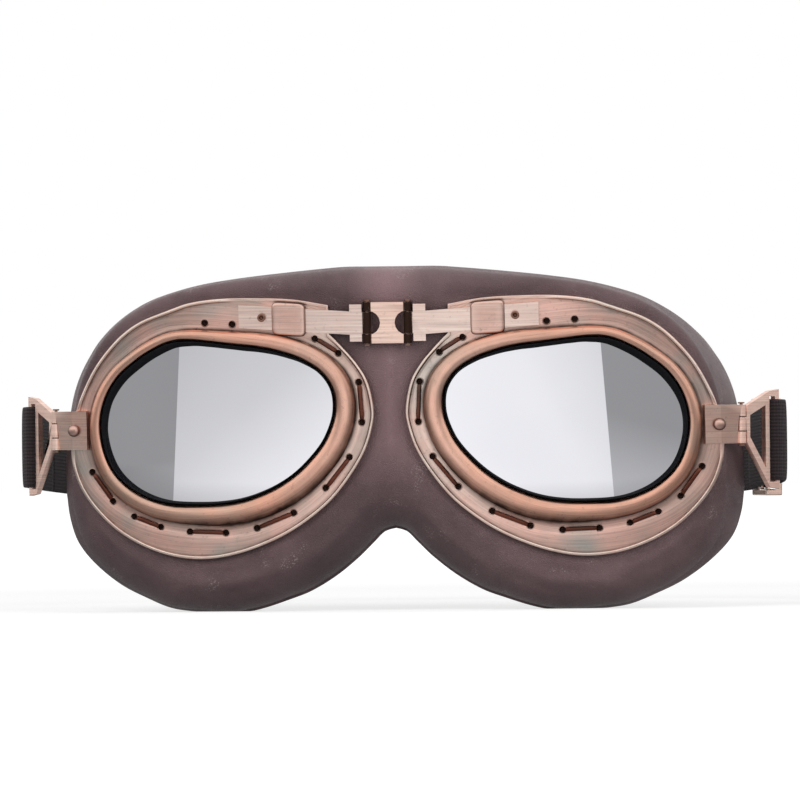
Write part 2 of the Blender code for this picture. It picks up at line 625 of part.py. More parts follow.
def make_mask(side):
    """Leather cover, foam and lining of one mask half, each a ring round its eye hole."""
    hole, front, rear, ray, roll, rear_roll = mask_lines()
    skin = LEATHER_BACK
    diagonal = math.sqrt(0.5)

    def at_front(line, depth):
        return mask_place(side, line, front_y(line[:, 0], line[:, 1]) + depth)

    def at_rear(line, depth):
        return mask_place(side, line, rear_y(line[:, 0]) - depth)

    def half(inset):
        return (hole + front - ray * inset) / 2

    soft = front - ray * roll * (1 - diagonal)
    inner_soft = front - ray * (roll - (roll - LEATHER_WALL) * diagonal)
    soft_depth = (skin + roll * (1 - diagonal))[:, 0]
    inner_soft_depth = (skin + roll - (roll - LEATHER_WALL) * diagonal)[:, 0]
    cover = [at_front(hole, skin), at_front(half(roll), skin), at_front(front - ray * roll, skin),
             at_front(soft, soft_depth), at_front(front, (skin + roll)[:, 0]),
             at_rear(rear, rear_roll[:, 0]), at_rear(rear - ray * rear_roll * (1 - diagonal),
                                                     (rear_roll * (1 - diagonal))[:, 0]),
             at_rear(rear - ray * rear_roll, 0.0), at_rear(rear - ray * rear_roll, LEATHER_WALL),
             at_rear(rear - ray * LEATHER_WALL, rear_roll[:, 0]),
             at_front(front - ray * LEATHER_WALL, (skin + roll)[:, 0]),
             at_front(inner_soft, inner_soft_depth), at_front(front - ray * roll, skin + LEATHER_WALL),
             at_front(half(roll), skin + LEATHER_WALL), at_front(hole, skin + LEATHER_WALL)]
    lift_rest(cover)
    name = "mask_" + side_name(side)
    add_object(name, ring_mesh(name, cover), ("mask leather", LEATHER))

    inset = LEATHER_WALL + GAP
    fill = skin + inset
    back = LINING_WALL + GAP
    edge = rear - ray * (rear_roll + GAP)
    pad = [at_front(hole, fill), at_front(half(roll), fill),
           at_front(front - ray * (roll + inset) / 2, (skin + (roll + inset) / 2)[:, 0]),
           at_front(front - ray * inset, (skin + roll)[:, 0]),
           at_rear(rear - ray * inset, rear_roll[:, 0] + GAP),
           at_rear(rear - ray * (rear_roll + inset), back), at_rear((hole + edge) / 2, back),
           at_rear(hole, back)]
    lift_rest(pad, inset)
    name = "foam_" + side_name(side)
    add_object(name, ring_mesh(name, pad), ("foam", FOAM))

    face = [at_rear(hole, LINING_WALL), at_rear((hole + edge) / 2, LINING_WALL),
            at_rear(edge, LINING_WALL), at_rear(edge, 0.0), at_rear((hole + edge) / 2, 0.0),
            at_rear(hole, 0.0)]
    lift_rest(face, inset)
    name = "lining_" + side_name(side)
    add_object(name, ring_mesh(name, face), ("lining fleece", FLEECE))


def lift_rest(loops, inset=0.0):
    """Cut the underside flat, so the lobes stand on the floor and what is inside clears the cover."""
    for loop in loops:
        loop[:, 2] = np.maximum(loop[:, 2], inset)


def make_nose_leather():
    """The leather between the eye halves: a padded block with rolled edges, arched over the nose."""
    half = MASK_CUT_U - GAP
    arch = MASK_NOSE_APEX_Z - MASK_NOSE_Z
    rings = []
    for share in (-1.0, -0.5, 0.0, 0.5, 1.0):
        x = half * share
        low = MASK_NOSE_APEX_Z - arch * share ** 2
        u = abs(x)
        back = float(rear_y(u))
        skin = LEATHER_BACK + NOSE_RECESS
        turn = np.radians([0.0, 45.0, 90.0])
        front = []
        for z_edge, sign, order in ((low, -1, turn[::-1]), (MASK_TOP, 1, turn)):
            for angle in order:
                z = z_edge - sign * MASK_ROLL * (1 - math.sin(angle))
                y = float(front_y(u, z)) + skin + MASK_ROLL * (1 - math.cos(angle))
                front.append((x, y, z))
        rings.append(front + [(x, back - MASK_REAR_ROLL, MASK_TOP), (x, back, MASK_TOP - MASK_REAR_ROLL),
                              (x, back, low + MASK_REAR_ROLL), (x, back - MASK_REAR_ROLL, low)])
    add_object("nose_leather", tube_mesh("nose_leather", rings), ("mask leather", LEATHER))


# Nose bridge

def knuckle_levels():
    """Heights of the bridge plate's end knuckles and, between them, of the arms' knuckles."""
    low = BRIDGE_Z - BRIDGE_HEIGHT / 2
    high = BRIDGE_Z + BRIDGE_HEIGHT / 2
    return low, low + KNUCKLE_END, high - KNUCKLE_END, high


def knuckle(centre, low, high, radius=KNUCKLE_RADIUS):
    return helper(upright_mesh("knuckle", [(radius, low), (radius, high)], centre))


def bore(centre, low, high):
    return helper(upright_mesh("bore", [(KNUCKLE_BORE, low - OVERRUN), (KNUCKLE_BORE, high + OVERRUN)],
                               centre))


def make_bridge_plate():
    """The centre plate: a rectangle with a half-round notch in each side and a knuckle at each corner."""
    low, low_end, high_start, high = knuckle_levels()
    arc = np.radians(np.linspace(90.0, 270.0, ROUND_SIDES - 3))
    right = [(BRIDGE_HALF_WIDTH, high)]
    right += [(BRIDGE_HALF_WIDTH + NOTCH_RADIUS * math.cos(a), BRIDGE_Z + NOTCH_RADIUS * math.sin(a))
              for a in arc]
    right += [(BRIDGE_HALF_WIDTH, low)]
    outline = np.array(right + [(-u, z) for u, z in reversed(right)])
    rise = PLATE_WALL + GAP
    y = front_y(np.zeros(len(outline)), outline[:, 1])
    faces = [np.column_stack([outline[:, 0], y - depth, outline[:, 1]])
             for depth in (rise, rise - PLATE_WALL)]
    plate = add_object("bridge_plate", tube_mesh("bridge_plate", faces), ("bridge copper", BRIGHT_COPPER))
    knuckles, bores = [], []
    for side in (-1, 1):
        centre = (side * HINGE_U, HINGE_Y)
        knuckles.append(knuckle(centre, low, low_end))
        knuckles.append(knuckle(centre, high_start, high))
        bores.append(bore(centre, low, high))
    combine(plate, knuckles, "UNION")
    combine(plate, bores, "DIFFERENCE")


def make_bridge_pin(side):
    low, _, _, high = knuckle_levels()
    profile = [(PIN_HEAD_RADIUS, low - GAP - PIN_HEAD), (PIN_HEAD_RADIUS, low - GAP),
               (PIN_RADIUS, low - GAP), (PIN_RADIUS, high + GAP), (PIN_HEAD_RADIUS, high + GAP),
               (PIN_HEAD_RADIUS, high + GAP + PIN_HEAD)]
    name = "bridge_pin_" + side_name(side)
    mesh = upright_mesh(name, profile, (side * HINGE_U, HINGE_Y), ROUND_SIDES - 4)
    add_object(name, mesh, ("pin copper", DARK_COPPER))


def arm_z(u):
    """Height of the arm's middle, which rises gently from its T head outwards."""
    return BRIDGE_Z + math.tan(math.radians(ARM_TILT_DEG)) * max(u - ARM_HEAD_END_U, 0.0)


def make_arm(side):
    """The bridge arm: a flat bar along the frame plate, with a T head and a knuckle at the bridge."""
    _, low, high, _ = knuckle_levels()
    low, high = low + GAP, high - GAP
    half_head, half_bar = ARM_HEAD_HEIGHT / 2, ARM_HEIGHT / 2
    upper = [(HINGE_U, high), (ARM_HEAD_U, high), (ARM_HEAD_U, BRIDGE_Z + half_head),
             (ARM_HEAD_END_U, BRIDGE_Z + half_head), (ARM_HEAD_END_U, BRIDGE_Z + half_bar),
             (ARM_END_U, arm_z(ARM_END_U) + half_bar)]
    lower = [(HINGE_U, low), (ARM_HEAD_U, low), (ARM_HEAD_U, BRIDGE_Z - half_head),
             (ARM_HEAD_END_U, BRIDGE_Z - half_head), (ARM_HEAD_END_U, BRIDGE_Z - half_bar),
             (ARM_END_U, arm_z(ARM_END_U) - half_bar)]
    outline = np.array(upper + lower[::-1])
    name = "arm_" + side_name(side)
    arm = add_object(name, sheet_mesh(name, side, outline, PLATE_WALL + GAP, PLATE_WALL),
                     ("bridge copper", BRIGHT_COPPER))
    centre = (side * HINGE_U, HINGE_Y)
    combine(arm, [knuckle(centre, low, high)], "UNION")
    combine(arm, [bore(centre, low, high)], "DIFFERENCE")


def make_keeper(side):
    """The square keeper: a channel over the arm, with both flanks down to the frame plate."""
    half = KEEPER_WIDTH / 2
    inner = ARM_HEIGHT / 2 + GAP
    outer = KEEPER_HEIGHT / 2
    rise = PLATE_WALL + 2 * GAP
    section = [(-outer, GAP), (-outer, rise + PLATE_WALL), (outer, rise + PLATE_WALL), (outer, GAP),
               (inner, GAP), (inner, rise), (-inner, rise), (-inner, GAP)]
    rings = []
    for u in (KEEPER_U - half, KEEPER_U + half):
        z = arm_z(u) + np.array([s[0] for s in section])
        y = front_y(np.full(len(section), u), z) - np.array([s[1] for s in section])
        rings.append(np.column_stack([np.full(len(section), side * u), y, z]))
    name = "keeper_" + side_name(side)
    add_object(name, tube_mesh(name, rings), ("frame copper", COPPER))


def make_arm_rivet(side):
    """The small ring rivet near the arm's end, standing on the arm."""
    foot = PLATE_WALL + 2 * GAP
    top = foot + ARM_RIVET_RISE
    profile = [(ARM_RIVET_BORE, foot), (ARM_RIVET_RADIUS, foot), (ARM_RIVET_RADIUS, top - GAP / 2),
               (ARM_RIVET_RADIUS - GAP / 2, top), (ARM_RIVET_BORE, top)]
    spot = np.array([ARM_RIVET_U, arm_z(ARM_RIVET_U)])
    loops = []
    for radius, rise in profile:
        ring = spot + circle(radius, ROUND_SIDES)
        loops.append(place(side, ring, -rise))
    name = "arm_rivet_" + side_name(side)
    add_object(name, ring_mesh(name, loops), ("pin copper", DARK_COPPER))


# Side hinge and strap loop

def side_start():
    """How far out the side plate begins, clear of the bezel."""
    outer_side = np.array([[EYE_U + EYE_HALF_WIDTH, EYE_Z]])
    return outer_side[0, 0] + bezel_widths(outer_side)[0] + 2 * GAP


def side_path():
    """Plan view line of the side plate's back: along the frame plate, then straight to the hinge."""
    inner = side_start()
    reach = np.array([inner, (inner + SIDE_BEND_U) / 2, SIDE_BEND_U])
    y = front_y(reach, np.full(len(reach), SIDE_Z)) - GAP
    return np.vstack([np.column_stack([reach, y]), [LOOP_HINGE_U, LOOP_HINGE_Y]])


def loop_levels():
    low, high = SIDE_Z - SIDE_HEIGHT / 2, SIDE_Z + SIDE_HEIGHT / 2
    return low, low + LOOP_KNUCKLE_END, high - LOOP_KNUCKLE_END, high


def make_side_plate(side):
    """The side plate: a bent copper strip, leaning with the frame, with a knuckle above and below."""
    line = side_path()
    run = np.gradient(line, axis=0)
    run /= np.linalg.norm(run, axis=1)[:, None]
    front = line + np.column_stack([run[:, 1], -run[:, 0]]) * SIDE_WALL
    front[-1] = line[-1] + (front[-2] - line[-2]) / 2
    low, low_end, high_start, high = loop_levels()
    strip = np.vstack([line, front[::-1]])
    rings = []
    for z in (low, high):
        lean = (SIDE_Z - z) * PITCH_TAN
        rings.append(np.column_stack([side * strip[:, 0], strip[:, 1] + lean, np.full(len(strip), z)]))
    name = "side_plate_" + side_name(side)
    plate = add_object(name, tube_mesh(name, rings), ("frame copper", COPPER))
    centre = (side * LOOP_HINGE_U, LOOP_HINGE_Y)
    room = LOOP_KNUCKLE_RADIUS + GAP
    radius = LOOP_KNUCKLE_RADIUS
    combine(plate, [knuckle(centre, low, low_end, radius), knuckle(centre, high_start, high, radius)],
            "UNION")
    relief = helper(upright_mesh("relief", [(room, low_end), (room, high_start)], centre))
    combine(plate, [relief, bore(centre, low, high)], "DIFFERENCE")


def make_side_rivet(side):
    """The domed rivet that holds the side plate to the frame."""
    foot = SIDE_WALL + 2 * GAP
    turn = np.radians([0.0, 30.0, 60.0])
    profile = [(SIDE_RIVET_RADIUS * math.cos(a), foot + SIDE_RIVET_RISE * math.sin(a)) for a in turn]
    profile.append((SIDE_RIVET_RADIUS / 8, foot + SIDE_RIVET_RISE))
    name = "side_rivet_" + side_name(side)
    slope = math.radians(SIDE_SLOPE_DEG)
    mesh = front_stud_mesh(name, profile, side, side_start() + SIDE_RIVET_INSET, SIDE_Z, slope)
    add_object(name, mesh, ("bezel copper", BRIGHT_COPPER))


def make_loop_pin(side):
    low, _, _, high = loop_levels()
    profile = [(PIN_HEAD_RADIUS, low - GAP - PIN_HEAD), (PIN_HEAD_RADIUS, low - GAP),
               (PIN_RADIUS, low - GAP), (PIN_RADIUS, high + GAP), (PIN_HEAD_RADIUS, high + GAP),
               (PIN_HEAD_RADIUS, high + GAP + PIN_HEAD)]
    name = "loop_pin_" + side_name(side)
    mesh = upright_mesh(name, profile, (side * LOOP_HINGE_U, LOOP_HINGE_Y), ROUND_SIDES - 4)
    add_object(name, mesh, ("pin copper", DARK_COPPER))


def loop_point(side, reach, rise, z):
    """A point given by its reach from the loop's hinge, its rise off the loop's face, and its height."""
    swing = math.radians(LOOP_SWING_DEG)
    u = LOOP_HINGE_U + reach * math.cos(swing) + rise * math.sin(swing)
    y = LOOP_HINGE_Y + reach * math.sin(swing) - rise * math.cos(swing)
    return side * u, y, z


def loop_slab(name, side, outline, half_wall):
    rings = [[loop_point(side, reach, rise, z) for reach, z in outline] for rise in (-half_wall, half_wall)]
    return tube_mesh(name, rings)


def loop_edge(reach):
    """Heights of the loop's lower and upper edge at a reach from its hinge."""
    stops = [LOOP_START, LOOP_SLOT_START, LOOP_END]
    half_narrow = LOOP_NARROW_HEIGHT / 2
    half_arm, half_tip = STRAP_HALF_SLOT + LOOP_RAIL, STRAP_HALF_SLOT + LOOP_TIP
    low = np.interp(reach, stops, [SIDE_Z - half_narrow, STRAP_Z - half_arm, STRAP_Z - half_tip])
    high = np.interp(reach, stops, [SIDE_Z + half_narrow, STRAP_Z + half_arm, STRAP_Z + half_tip])
    return float(low), float(high)


def make_strap_loop(side):
    """The flared loop: a flat plate with a window, a middle bar, a strap slot and an outer bar."""
    _, low, high, _ = loop_levels()
    low, high = low + GAP, high - GAP
    reaches = [LOOP_START, (LOOP_START + LOOP_SLOT_START) / 2, LOOP_SLOT_START, LOOP_END]
    outline = [(0.0, low), (LOOP_START, low)] + [(r, loop_edge(r)[0]) for r in reaches]
    outline += [(r, loop_edge(r)[1]) for r in reversed(reaches)] + [(LOOP_START, high), (0.0, high)]
    name = "strap_loop_" + side_name(side)
    loop = add_object(name, loop_slab(name, side, outline, LOOP_WALL / 2), ("loop copper", COPPER))
    centre = (side * LOOP_HINGE_U, LOOP_HINGE_Y)
    combine(loop, [knuckle(centre, low, high, LOOP_KNUCKLE_RADIUS)], "UNION")
    near, far = LOOP_WINDOW_START, LOOP_WINDOW_END
    window = [(near, loop_edge(near)[0] + LOOP_WINDOW_WALL), (far, loop_edge(far)[0] + LOOP_WINDOW_WALL),
              (far, loop_edge(far)[1] - LOOP_WINDOW_WALL), (near, loop_edge(near)[1] - LOOP_WINDOW_WALL)]
    foot, head = STRAP_Z - STRAP_HALF_SLOT, STRAP_Z + STRAP_HALF_SLOT
    slot = [(LOOP_SLOT_START, foot), (LOOP_BAR_START, foot), (LOOP_BAR_START, head), (LOOP_SLOT_START, head)]
    combine(loop, [helper(loop_slab("window", side, window, OVERRUN)),
                   helper(loop_slab("slot", side, slot, OVERRUN)), bore(centre, low, high)], "DIFFERENCE")


# Head strap

def strap_band_path():
    """Plan view centre line of the whole band, and the distance walked from the fixed fold to each point.

    It starts at the sewn end on the left, folds round the left bar, runs round behind the head, folds
    round the right bar and ends at the slider.
    """
    lift = LOOP_WALL / 2 + GAP + STRAP_WALL / 2
    turn = np.radians(np.linspace(90.0, -90.0, FOLD_COUNT))
    fold = [(LOOP_END - STRAP_WALL / 2, lift)]
    fold += [(LOOP_BAR_START - lift * math.cos(a), lift * math.sin(a)) for a in turn]
    fold += [(LOOP_END - STRAP_WALL / 2, -lift)]
    fold_points = np.array([loop_point(1, reach, rise, 0.0)[:2] for reach, rise in fold])
    outer_start = np.array(loop_point(1, LOOP_END + STRAP_WALL, lift - STRAP_WALL / 4, 0.0)[:2])
    p0 = outer_start + np.array([-STRAP_WALL / 4, STRAP_WALL * 2])
    p1 = p0 + np.array([-STRAP_SIDE_LEAN, STRAP_SIDE_REACH])
    p3 = np.array([0.0, STRAP_DEPTH])
    p2 = p3 + np.array([STRAP_REAR_REACH, 0.0])
    t = np.linspace(0.0, 1.0, ARC_COUNT)[:, None]
    arc = (1 - t) ** 3 * p0 + 3 * (1 - t) ** 2 * t * p1 + 3 * (1 - t) * t ** 2 * p2 + t ** 3 * p3
    outer = np.vstack([outer_start, arc])
    return fold_points, outer


def offset_line(line, distance):
    """A line beside another, on its left as it runs."""
    run = np.gradient(line, axis=0)
    run /= np.linalg.norm(run, axis=1)[:, None]
    return line + np.column_stack([-run[:, 1], run[:, 0]]) * distance


def part_of(line, length):
    """The first stretch of a line, cut at a length."""
    steps = np.concatenate([[0.0], np.cumsum(np.linalg.norm(np.diff(line, axis=0), axis=1))])
    keep = line[steps < length]
    end = np.array([np.interp(length, steps, line[:, k]) for k in range(2)])
    return np.vstack([keep, end])


def spot_on(line, length):
    """The point and direction at a distance along a line."""
    head = part_of(line, length)
    run = head[-1] - head[-2]
    return head[-1], run / np.linalg.norm(run)


def droop(y):
    """How far the band hangs below the loops, growing towards the back of the head."""
    share = np.clip((y - LOOP_HINGE_Y) / (STRAP_DEPTH - LOOP_HINGE_Y), 0.0, 1.0)
    return STRAP_DROOP * share * share * (3 - 2 * share)


def make_head_strap():
    """The elastic band: one strip on edge, with its two folded ends lying inside the long run."""
    fold, outer = strap_band_path()
    spacing = STRAP_WALL + STRAP_LAYER_GAP
    sewn = part_of(offset_line(outer, spacing)[1:], STRAP_SEWN_RETURN)
    slid = part_of(offset_line(outer, spacing)[1:], SLIDER_DISTANCE + SLIDER_BAR)
    drift = (SLIDER_WALL + 3 * GAP - STRAP_LAYER_GAP) * np.linspace(0.0, SLID_EASE, len(slid)).clip(0.0, 1.0)
    slid = slid + (offset_line(slid, 1.0) - slid) * drift[:, None]
    right = np.vstack([outer[::-1], fold, slid])
    left = np.vstack([outer[::-1], fold, sewn]) * np.array([-1.0, 1.0])
    line = np.vstack([left[::-1], right[1:]])
    run = np.gradient(line, axis=0)
    run /= np.linalg.norm(run, axis=1)[:, None]
    side = np.column_stack([-run[:, 1], run[:, 0]]) * STRAP_WALL / 2
    middle = STRAP_Z - droop(line[:, 1])
    rings = []
    for spot, across, z in zip(line, side, middle):
        low, high = z - STRAP_WIDTH / 2, z + STRAP_WIDTH / 2
        rings.append([(*(spot - across), low), (*(spot + across), low), (*(spot + across), high),
                      (*(spot - across), high)])
    add_object("head_strap", tube_mesh("head_strap", rings), ("strap elastic", ELASTIC))
    return outer


def strap_block(spot, run, along_from, along_to, off_from, off_to, low, high):
    """A box beside the right-hand band, in steps along it and off its outer face."""
    off = np.array([run[1], -run[0]])
    corners = [spot + run * a + off * b for a, b in ((along_from, off_from), (along_to, off_from),
                                                     (along_to, off_to), (along_from, off_to))]
    return tube_mesh("block", [[(*c, low) for c in corners], [(*c, high) for c in corners]])


def make_slider(outer):
    """The adjuster: two rails joined by two end bars outside the band and a middle bar inside it."""
    spot, run = spot_on(outer, SLIDER_DISTANCE)
    z = STRAP_Z - float(droop(spot[1]))
    half = SLIDER_LENGTH / 2
    bar = SLIDER_BAR / 2
    rail = STRAP_HALF_SLOT
    reach = STRAP_WALL / 2 + 2 * GAP
    full = reach + SLIDER_WALL
    past, beyond = half + OVERRUN, full + OVERRUN
    top = z + rail + SLIDER_RAIL
    slider = add_object("strap_slider", strap_block(spot, run, -half, half, -full, full,
                                                    2 * z - top, top), ("loop copper", COPPER))
    spaces = [(-past, past, -reach, reach), (-half + SLIDER_BAR, half - SLIDER_BAR, 0.0, beyond),
              (-past, -bar, -beyond, 0.0), (bar, past, -beyond, 0.0)]
    tools = [helper(strap_block(spot, run, *space, z - rail, z + rail)) for space in spaces]
    combine(slider, tools, "DIFFERENCE")
    return spot, run


def make_tack(outer):
    """The bar tack: a low block of thread across the sewn fold, on the left-hand band's outer face."""
    mirror = outer * np.array([-1.0, 1.0])
    spot, run = spot_on(mirror, TACK_DISTANCE)
    z = STRAP_Z - float(droop(spot[1]))
    off = STRAP_WALL / 2 + GAP
    half = TACK_WIDTH / 2
    mesh = strap_block(spot, run, -half, half, -off - TACK_RISE, -off, z - TACK_HEIGHT / 2,
                       z + TACK_HEIGHT / 2)
    mesh.name = "strap_tack"
    add_object("strap_tack", mesh, ("strap thread", RUST_COPPER))


# Bodies, each on its joint's axis

def make_pivot(name, spot, members):
    """An empty on a joint's axis that carries the pieces of one moving body."""
    pivot = bpy.data.objects.new(name, None)
    bpy.context.scene.collection.objects.link(pivot)
    pivot.location = spot
    bpy.context.view_layer.update()
    for member in members:
        piece = bpy.data.objects[member]
        piece.parent = pivot
        piece.matrix_parent_inverse = pivot.matrix_world.inverted()
    return pivot


def middle_depth():
    """The depth halfway between the frontmost and the rearmost point of the pieces."""
    depths = [v.co.y for piece in bpy.data.objects if piece.type == "MESH" for v in piece.data.vertices]
    return (min(depths) + max(depths)) / 2


def shift_back(distance):
    """Move every mesh so that the part stands with the middle of its depth over the origin."""
    for piece in bpy.data.objects:
        if piece.type == "MESH":
            for v in piece.data.vertices:
                v.co.y -= distance


def main():
    for old in list(bpy.data.objects):
        bpy.data.objects.remove(old)
    opening, out = opening_outline()
    holes = lace_places(opening, out)
    make_bridge_plate()
    make_nose_leather()
    for side in (-1, 1):
        make_bezel(side, opening, out)
        make_frame(side, opening, out, holes)
        for number, (a, b) in enumerate(zip(holes[2::2], holes[3::2]), start=1):
            make_lace(side, number, a, b)
        make_gasket(side, opening, out)
        make_lens(side, opening, out)
        make_retainer(side, opening, out)
        make_mask(side)
        make_bridge_pin(side)
        make_arm(side)
        make_keeper(side)
        make_arm_rivet(side)
        make_side_plate(side)
        make_side_rivet(side)
        make_loop_pin(side)
        make_strap_loop(side)
    outer = make_head_strap()
    slider_spot, _ = make_slider(outer)
    make_tack(outer)

    shift = middle_depth()
    shift_back(shift)
    eye_pieces = ["frame", "bezel", "gasket", "lens", "retainer", "arm", "keeper", "arm_rivet",
                  "side_plate", "side_rivet", "loop_pin", "mask", "foam", "lining"]
    laces = [piece.name for piece in bpy.data.objects if piece.name.startswith("lace_")]
    for side in (-1, 1):
        label = side_name(side)
        make_pivot(label + "_eye_pivot", (side * HINGE_U, HINGE_Y - shift, BRIDGE_Z),
                   [piece + "_" + label for piece in eye_pieces] + [n for n in laces if label in n])
        make_pivot(label + "_loop_pivot", (side * LOOP_HINGE_U, LOOP_HINGE_Y - shift, SIDE_Z),
                   ["strap_loop_" + label])
    make_pivot("slider_pivot", (slider_spot[0], slider_spot[1] - shift, STRAP_Z), ["strap_slider"])
    for pivot in bpy.data.objects:
        if pivot.type == "EMPTY":
            print(pivot.name, [round(c, 5) for c in pivot.location])
    print("shift", round(shift, 5))


main()
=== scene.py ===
# %% [markdown]
# # Pilot goggles
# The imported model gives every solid, joint and body of the goggles in one frame, in metres. This lesson
# dresses it: it keeps the solids whose shape is already right, and lays finer surfaces over the others.
# Everything is placed by numbers, so the pieces fall where the solids are without any fitting.

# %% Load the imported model
import json
import math

import bmesh
import bpy
import numpy as np
from mathutils import Matrix, Vector


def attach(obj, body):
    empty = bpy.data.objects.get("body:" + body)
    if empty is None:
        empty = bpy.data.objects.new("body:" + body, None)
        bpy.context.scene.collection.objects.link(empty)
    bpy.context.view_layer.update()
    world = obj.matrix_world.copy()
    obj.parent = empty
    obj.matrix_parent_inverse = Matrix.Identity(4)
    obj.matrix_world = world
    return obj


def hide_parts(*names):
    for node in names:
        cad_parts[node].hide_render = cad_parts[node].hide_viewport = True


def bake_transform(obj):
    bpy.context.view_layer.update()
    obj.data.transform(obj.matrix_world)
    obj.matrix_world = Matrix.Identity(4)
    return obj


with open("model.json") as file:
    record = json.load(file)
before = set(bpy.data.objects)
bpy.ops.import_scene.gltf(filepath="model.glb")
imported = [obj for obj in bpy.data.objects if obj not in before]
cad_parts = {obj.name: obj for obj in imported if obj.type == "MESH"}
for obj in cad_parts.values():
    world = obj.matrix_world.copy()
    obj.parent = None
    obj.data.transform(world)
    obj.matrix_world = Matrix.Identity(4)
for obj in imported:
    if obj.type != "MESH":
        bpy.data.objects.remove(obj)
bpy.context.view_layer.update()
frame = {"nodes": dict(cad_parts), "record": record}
node_body = {node: body for body, nodes in frame["record"]["behaviour"]["bodies"].items() for node in nodes}

# %% [markdown]
# ## Camera
# The picture was taken with a long lens, level with the goggles and about five degrees to one side. A far
# camera with a narrow view keeps the two eyes nearly the same size, as they are in the picture. The
# picture leans by half a degree, so the camera is rolled by that much.

# %% Camera
VIEW_TURN, VIEW_ROLL = math.radians(5.2), math.radians(0.6)
VIEW_WIDTH, VIEW_DISTANCE = 0.2208, 3.0
VIEW_AIM = np.array([0.00225, -0.065, 0.0582])

ahead = np.array([-math.sin(VIEW_TURN), math.cos(VIEW_TURN), 0.0])
level = np.array([math.cos(VIEW_TURN), math.sin(VIEW_TURN), 0.0])
upright = np.array([0.0, 0.0, 1.0])
across = math.cos(VIEW_ROLL) * level - math.sin(VIEW_ROLL) * upright
lifted = math.cos(VIEW_ROLL) * upright + math.sin(VIEW_ROLL) * level
stand = VIEW_AIM - ahead * VIEW_DISTANCE
camera = bpy.data.objects.new("camera", bpy.data.cameras.new("camera"))
bpy.context.scene.collection.objects.link(camera)
turned = np.eye(4)
turned[:3, :4] = np.column_stack([across, lifted, -ahead, stand])
camera.matrix_world = Matrix(turned.tolist())
camera.data.sensor_width = 36.0
camera.data.lens = camera.data.sensor_width * VIEW_DISTANCE / VIEW_WIDTH
bpy.context.scene.camera = camera
bpy.context.scene.view_settings.view_transform = "Standard"
print("lens", round(camera.data.lens, 1), "mm, stands at", stand.round(3))

# %% [markdown]
# ## Shader helpers
# A finish is a small network of shader nodes. These helpers make a node, set its values and join it to
# the nodes before it, so that each finish below reads like a recipe. Effects that several finishes share,
# such as brushing or wear, are node groups with named inputs and outputs.

# %% Helpers for shader nodes
def feed(tree, node, values):
    """Links or sets a node's sockets by name or number; a colour is given by its red, green and blue."""
    for key, value in values.items():
        socket = node.inputs[key]
        if isinstance(value, bpy.types.NodeSocket):
            tree.links.new(value, socket)
        else:
            socket.default_value = (*value, 1) if socket.type == "RGBA" else value
    return node


def add_node(tree, kind, values=None, **settings):
    """A shader node of that kind: settings are its options, and values go into its sockets."""
    made = tree.nodes.new("ShaderNode" + kind)
    for key, value in settings.items():
        setattr(made, key, value)
    return feed(tree, made, values or {})


def arithmetic(tree, operation, a, b=0.0, clamp=False):
    """The result socket of a Math node."""
    return add_node(tree, "Math", {0: a, 1: b}, operation=operation, use_clamp=clamp).outputs[0]


def product(tree, a, b, clamp=False):
    return arithmetic(tree, "MULTIPLY", a, b, clamp)


def mixed(tree, share, a, b, blend="MIX"):
    """A colour mix: a where share is nought and b where it is one."""
    values = {"Factor": share, 6: a, 7: b}
    return add_node(tree, "Mix", values, data_type="RGBA", blend_type=blend).outputs[2]


def remapped(tree, value, low, high, to_low=0.0, to_high=1.0):
    """A value stretched from one range to another and kept inside it."""
    return add_node(tree, "MapRange", {"Value": value, "From Min": low, "From Max": high, "To Min": to_low,
                                       "To Max": to_high}).outputs[0]


def noise(tree, vector, scale, detail=2.0, roughness=0.5):
    """A smooth random value over a vector, with lumps of about one over the scale."""
    return add_node(tree, "TexNoise", {"Vector": vector, "Scale": scale, "Detail": detail,
                                       "Roughness": roughness}).outputs["Fac"]


print("node helpers ready")

# %% Helpers for places, relief, groups and materials
def place_of(tree):
    """The point's place on the object, which is its place in the frame."""
    return add_node(tree, "TexCoord").outputs["Object"]


def parts_of(tree, vector):
    return add_node(tree, "SeparateXYZ", {"Vector": vector}).outputs


def own(tree, label, output="Fac"):
    """What the piece carries at each point under that name."""
    return add_node(tree, "Attribute", attribute_name=label).outputs[output]


def emboss(tree, shader, height, strength, distance):
    """Tilts the shading as if the surface were raised by the height times the distance."""
    raised = add_node(tree, "Bump", {"Height": height, "Strength": strength, "Distance": distance})
    feed(tree, shader, {"Normal": raised.outputs[0]})


def grouped(tree, group, **values):
    """The output sockets of a node group whose inputs are fed by name."""
    return add_node(tree, "Group", values, node_tree=group).outputs


def new_group(name, inputs, outputs):
    """An empty node group with named sockets, its inputs' values inside it, and its end node."""
    group = bpy.data.node_groups.new(name, "ShaderNodeTree")
    for way, sockets in (("INPUT", inputs), ("OUTPUT", outputs)):
        for label, kind in sockets.items():
            group.interface.new_socket(label, in_out=way, socket_type="NodeSocket" + kind)
    return group, group.nodes.new("NodeGroupInput").outputs, group.nodes.new("NodeGroupOutput")


def new_material(name, **values):
    """A material with a Principled shader whose sockets are set, and its tree and shader."""
    material = bpy.data.materials.new(name)
    material.use_nodes = True
    tree = material.node_tree
    values = {key.replace("_", " "): value for key, value in values.items()}
    return material, tree, feed(tree, tree.nodes["Principled BSDF"], values)


print("material helpers ready")
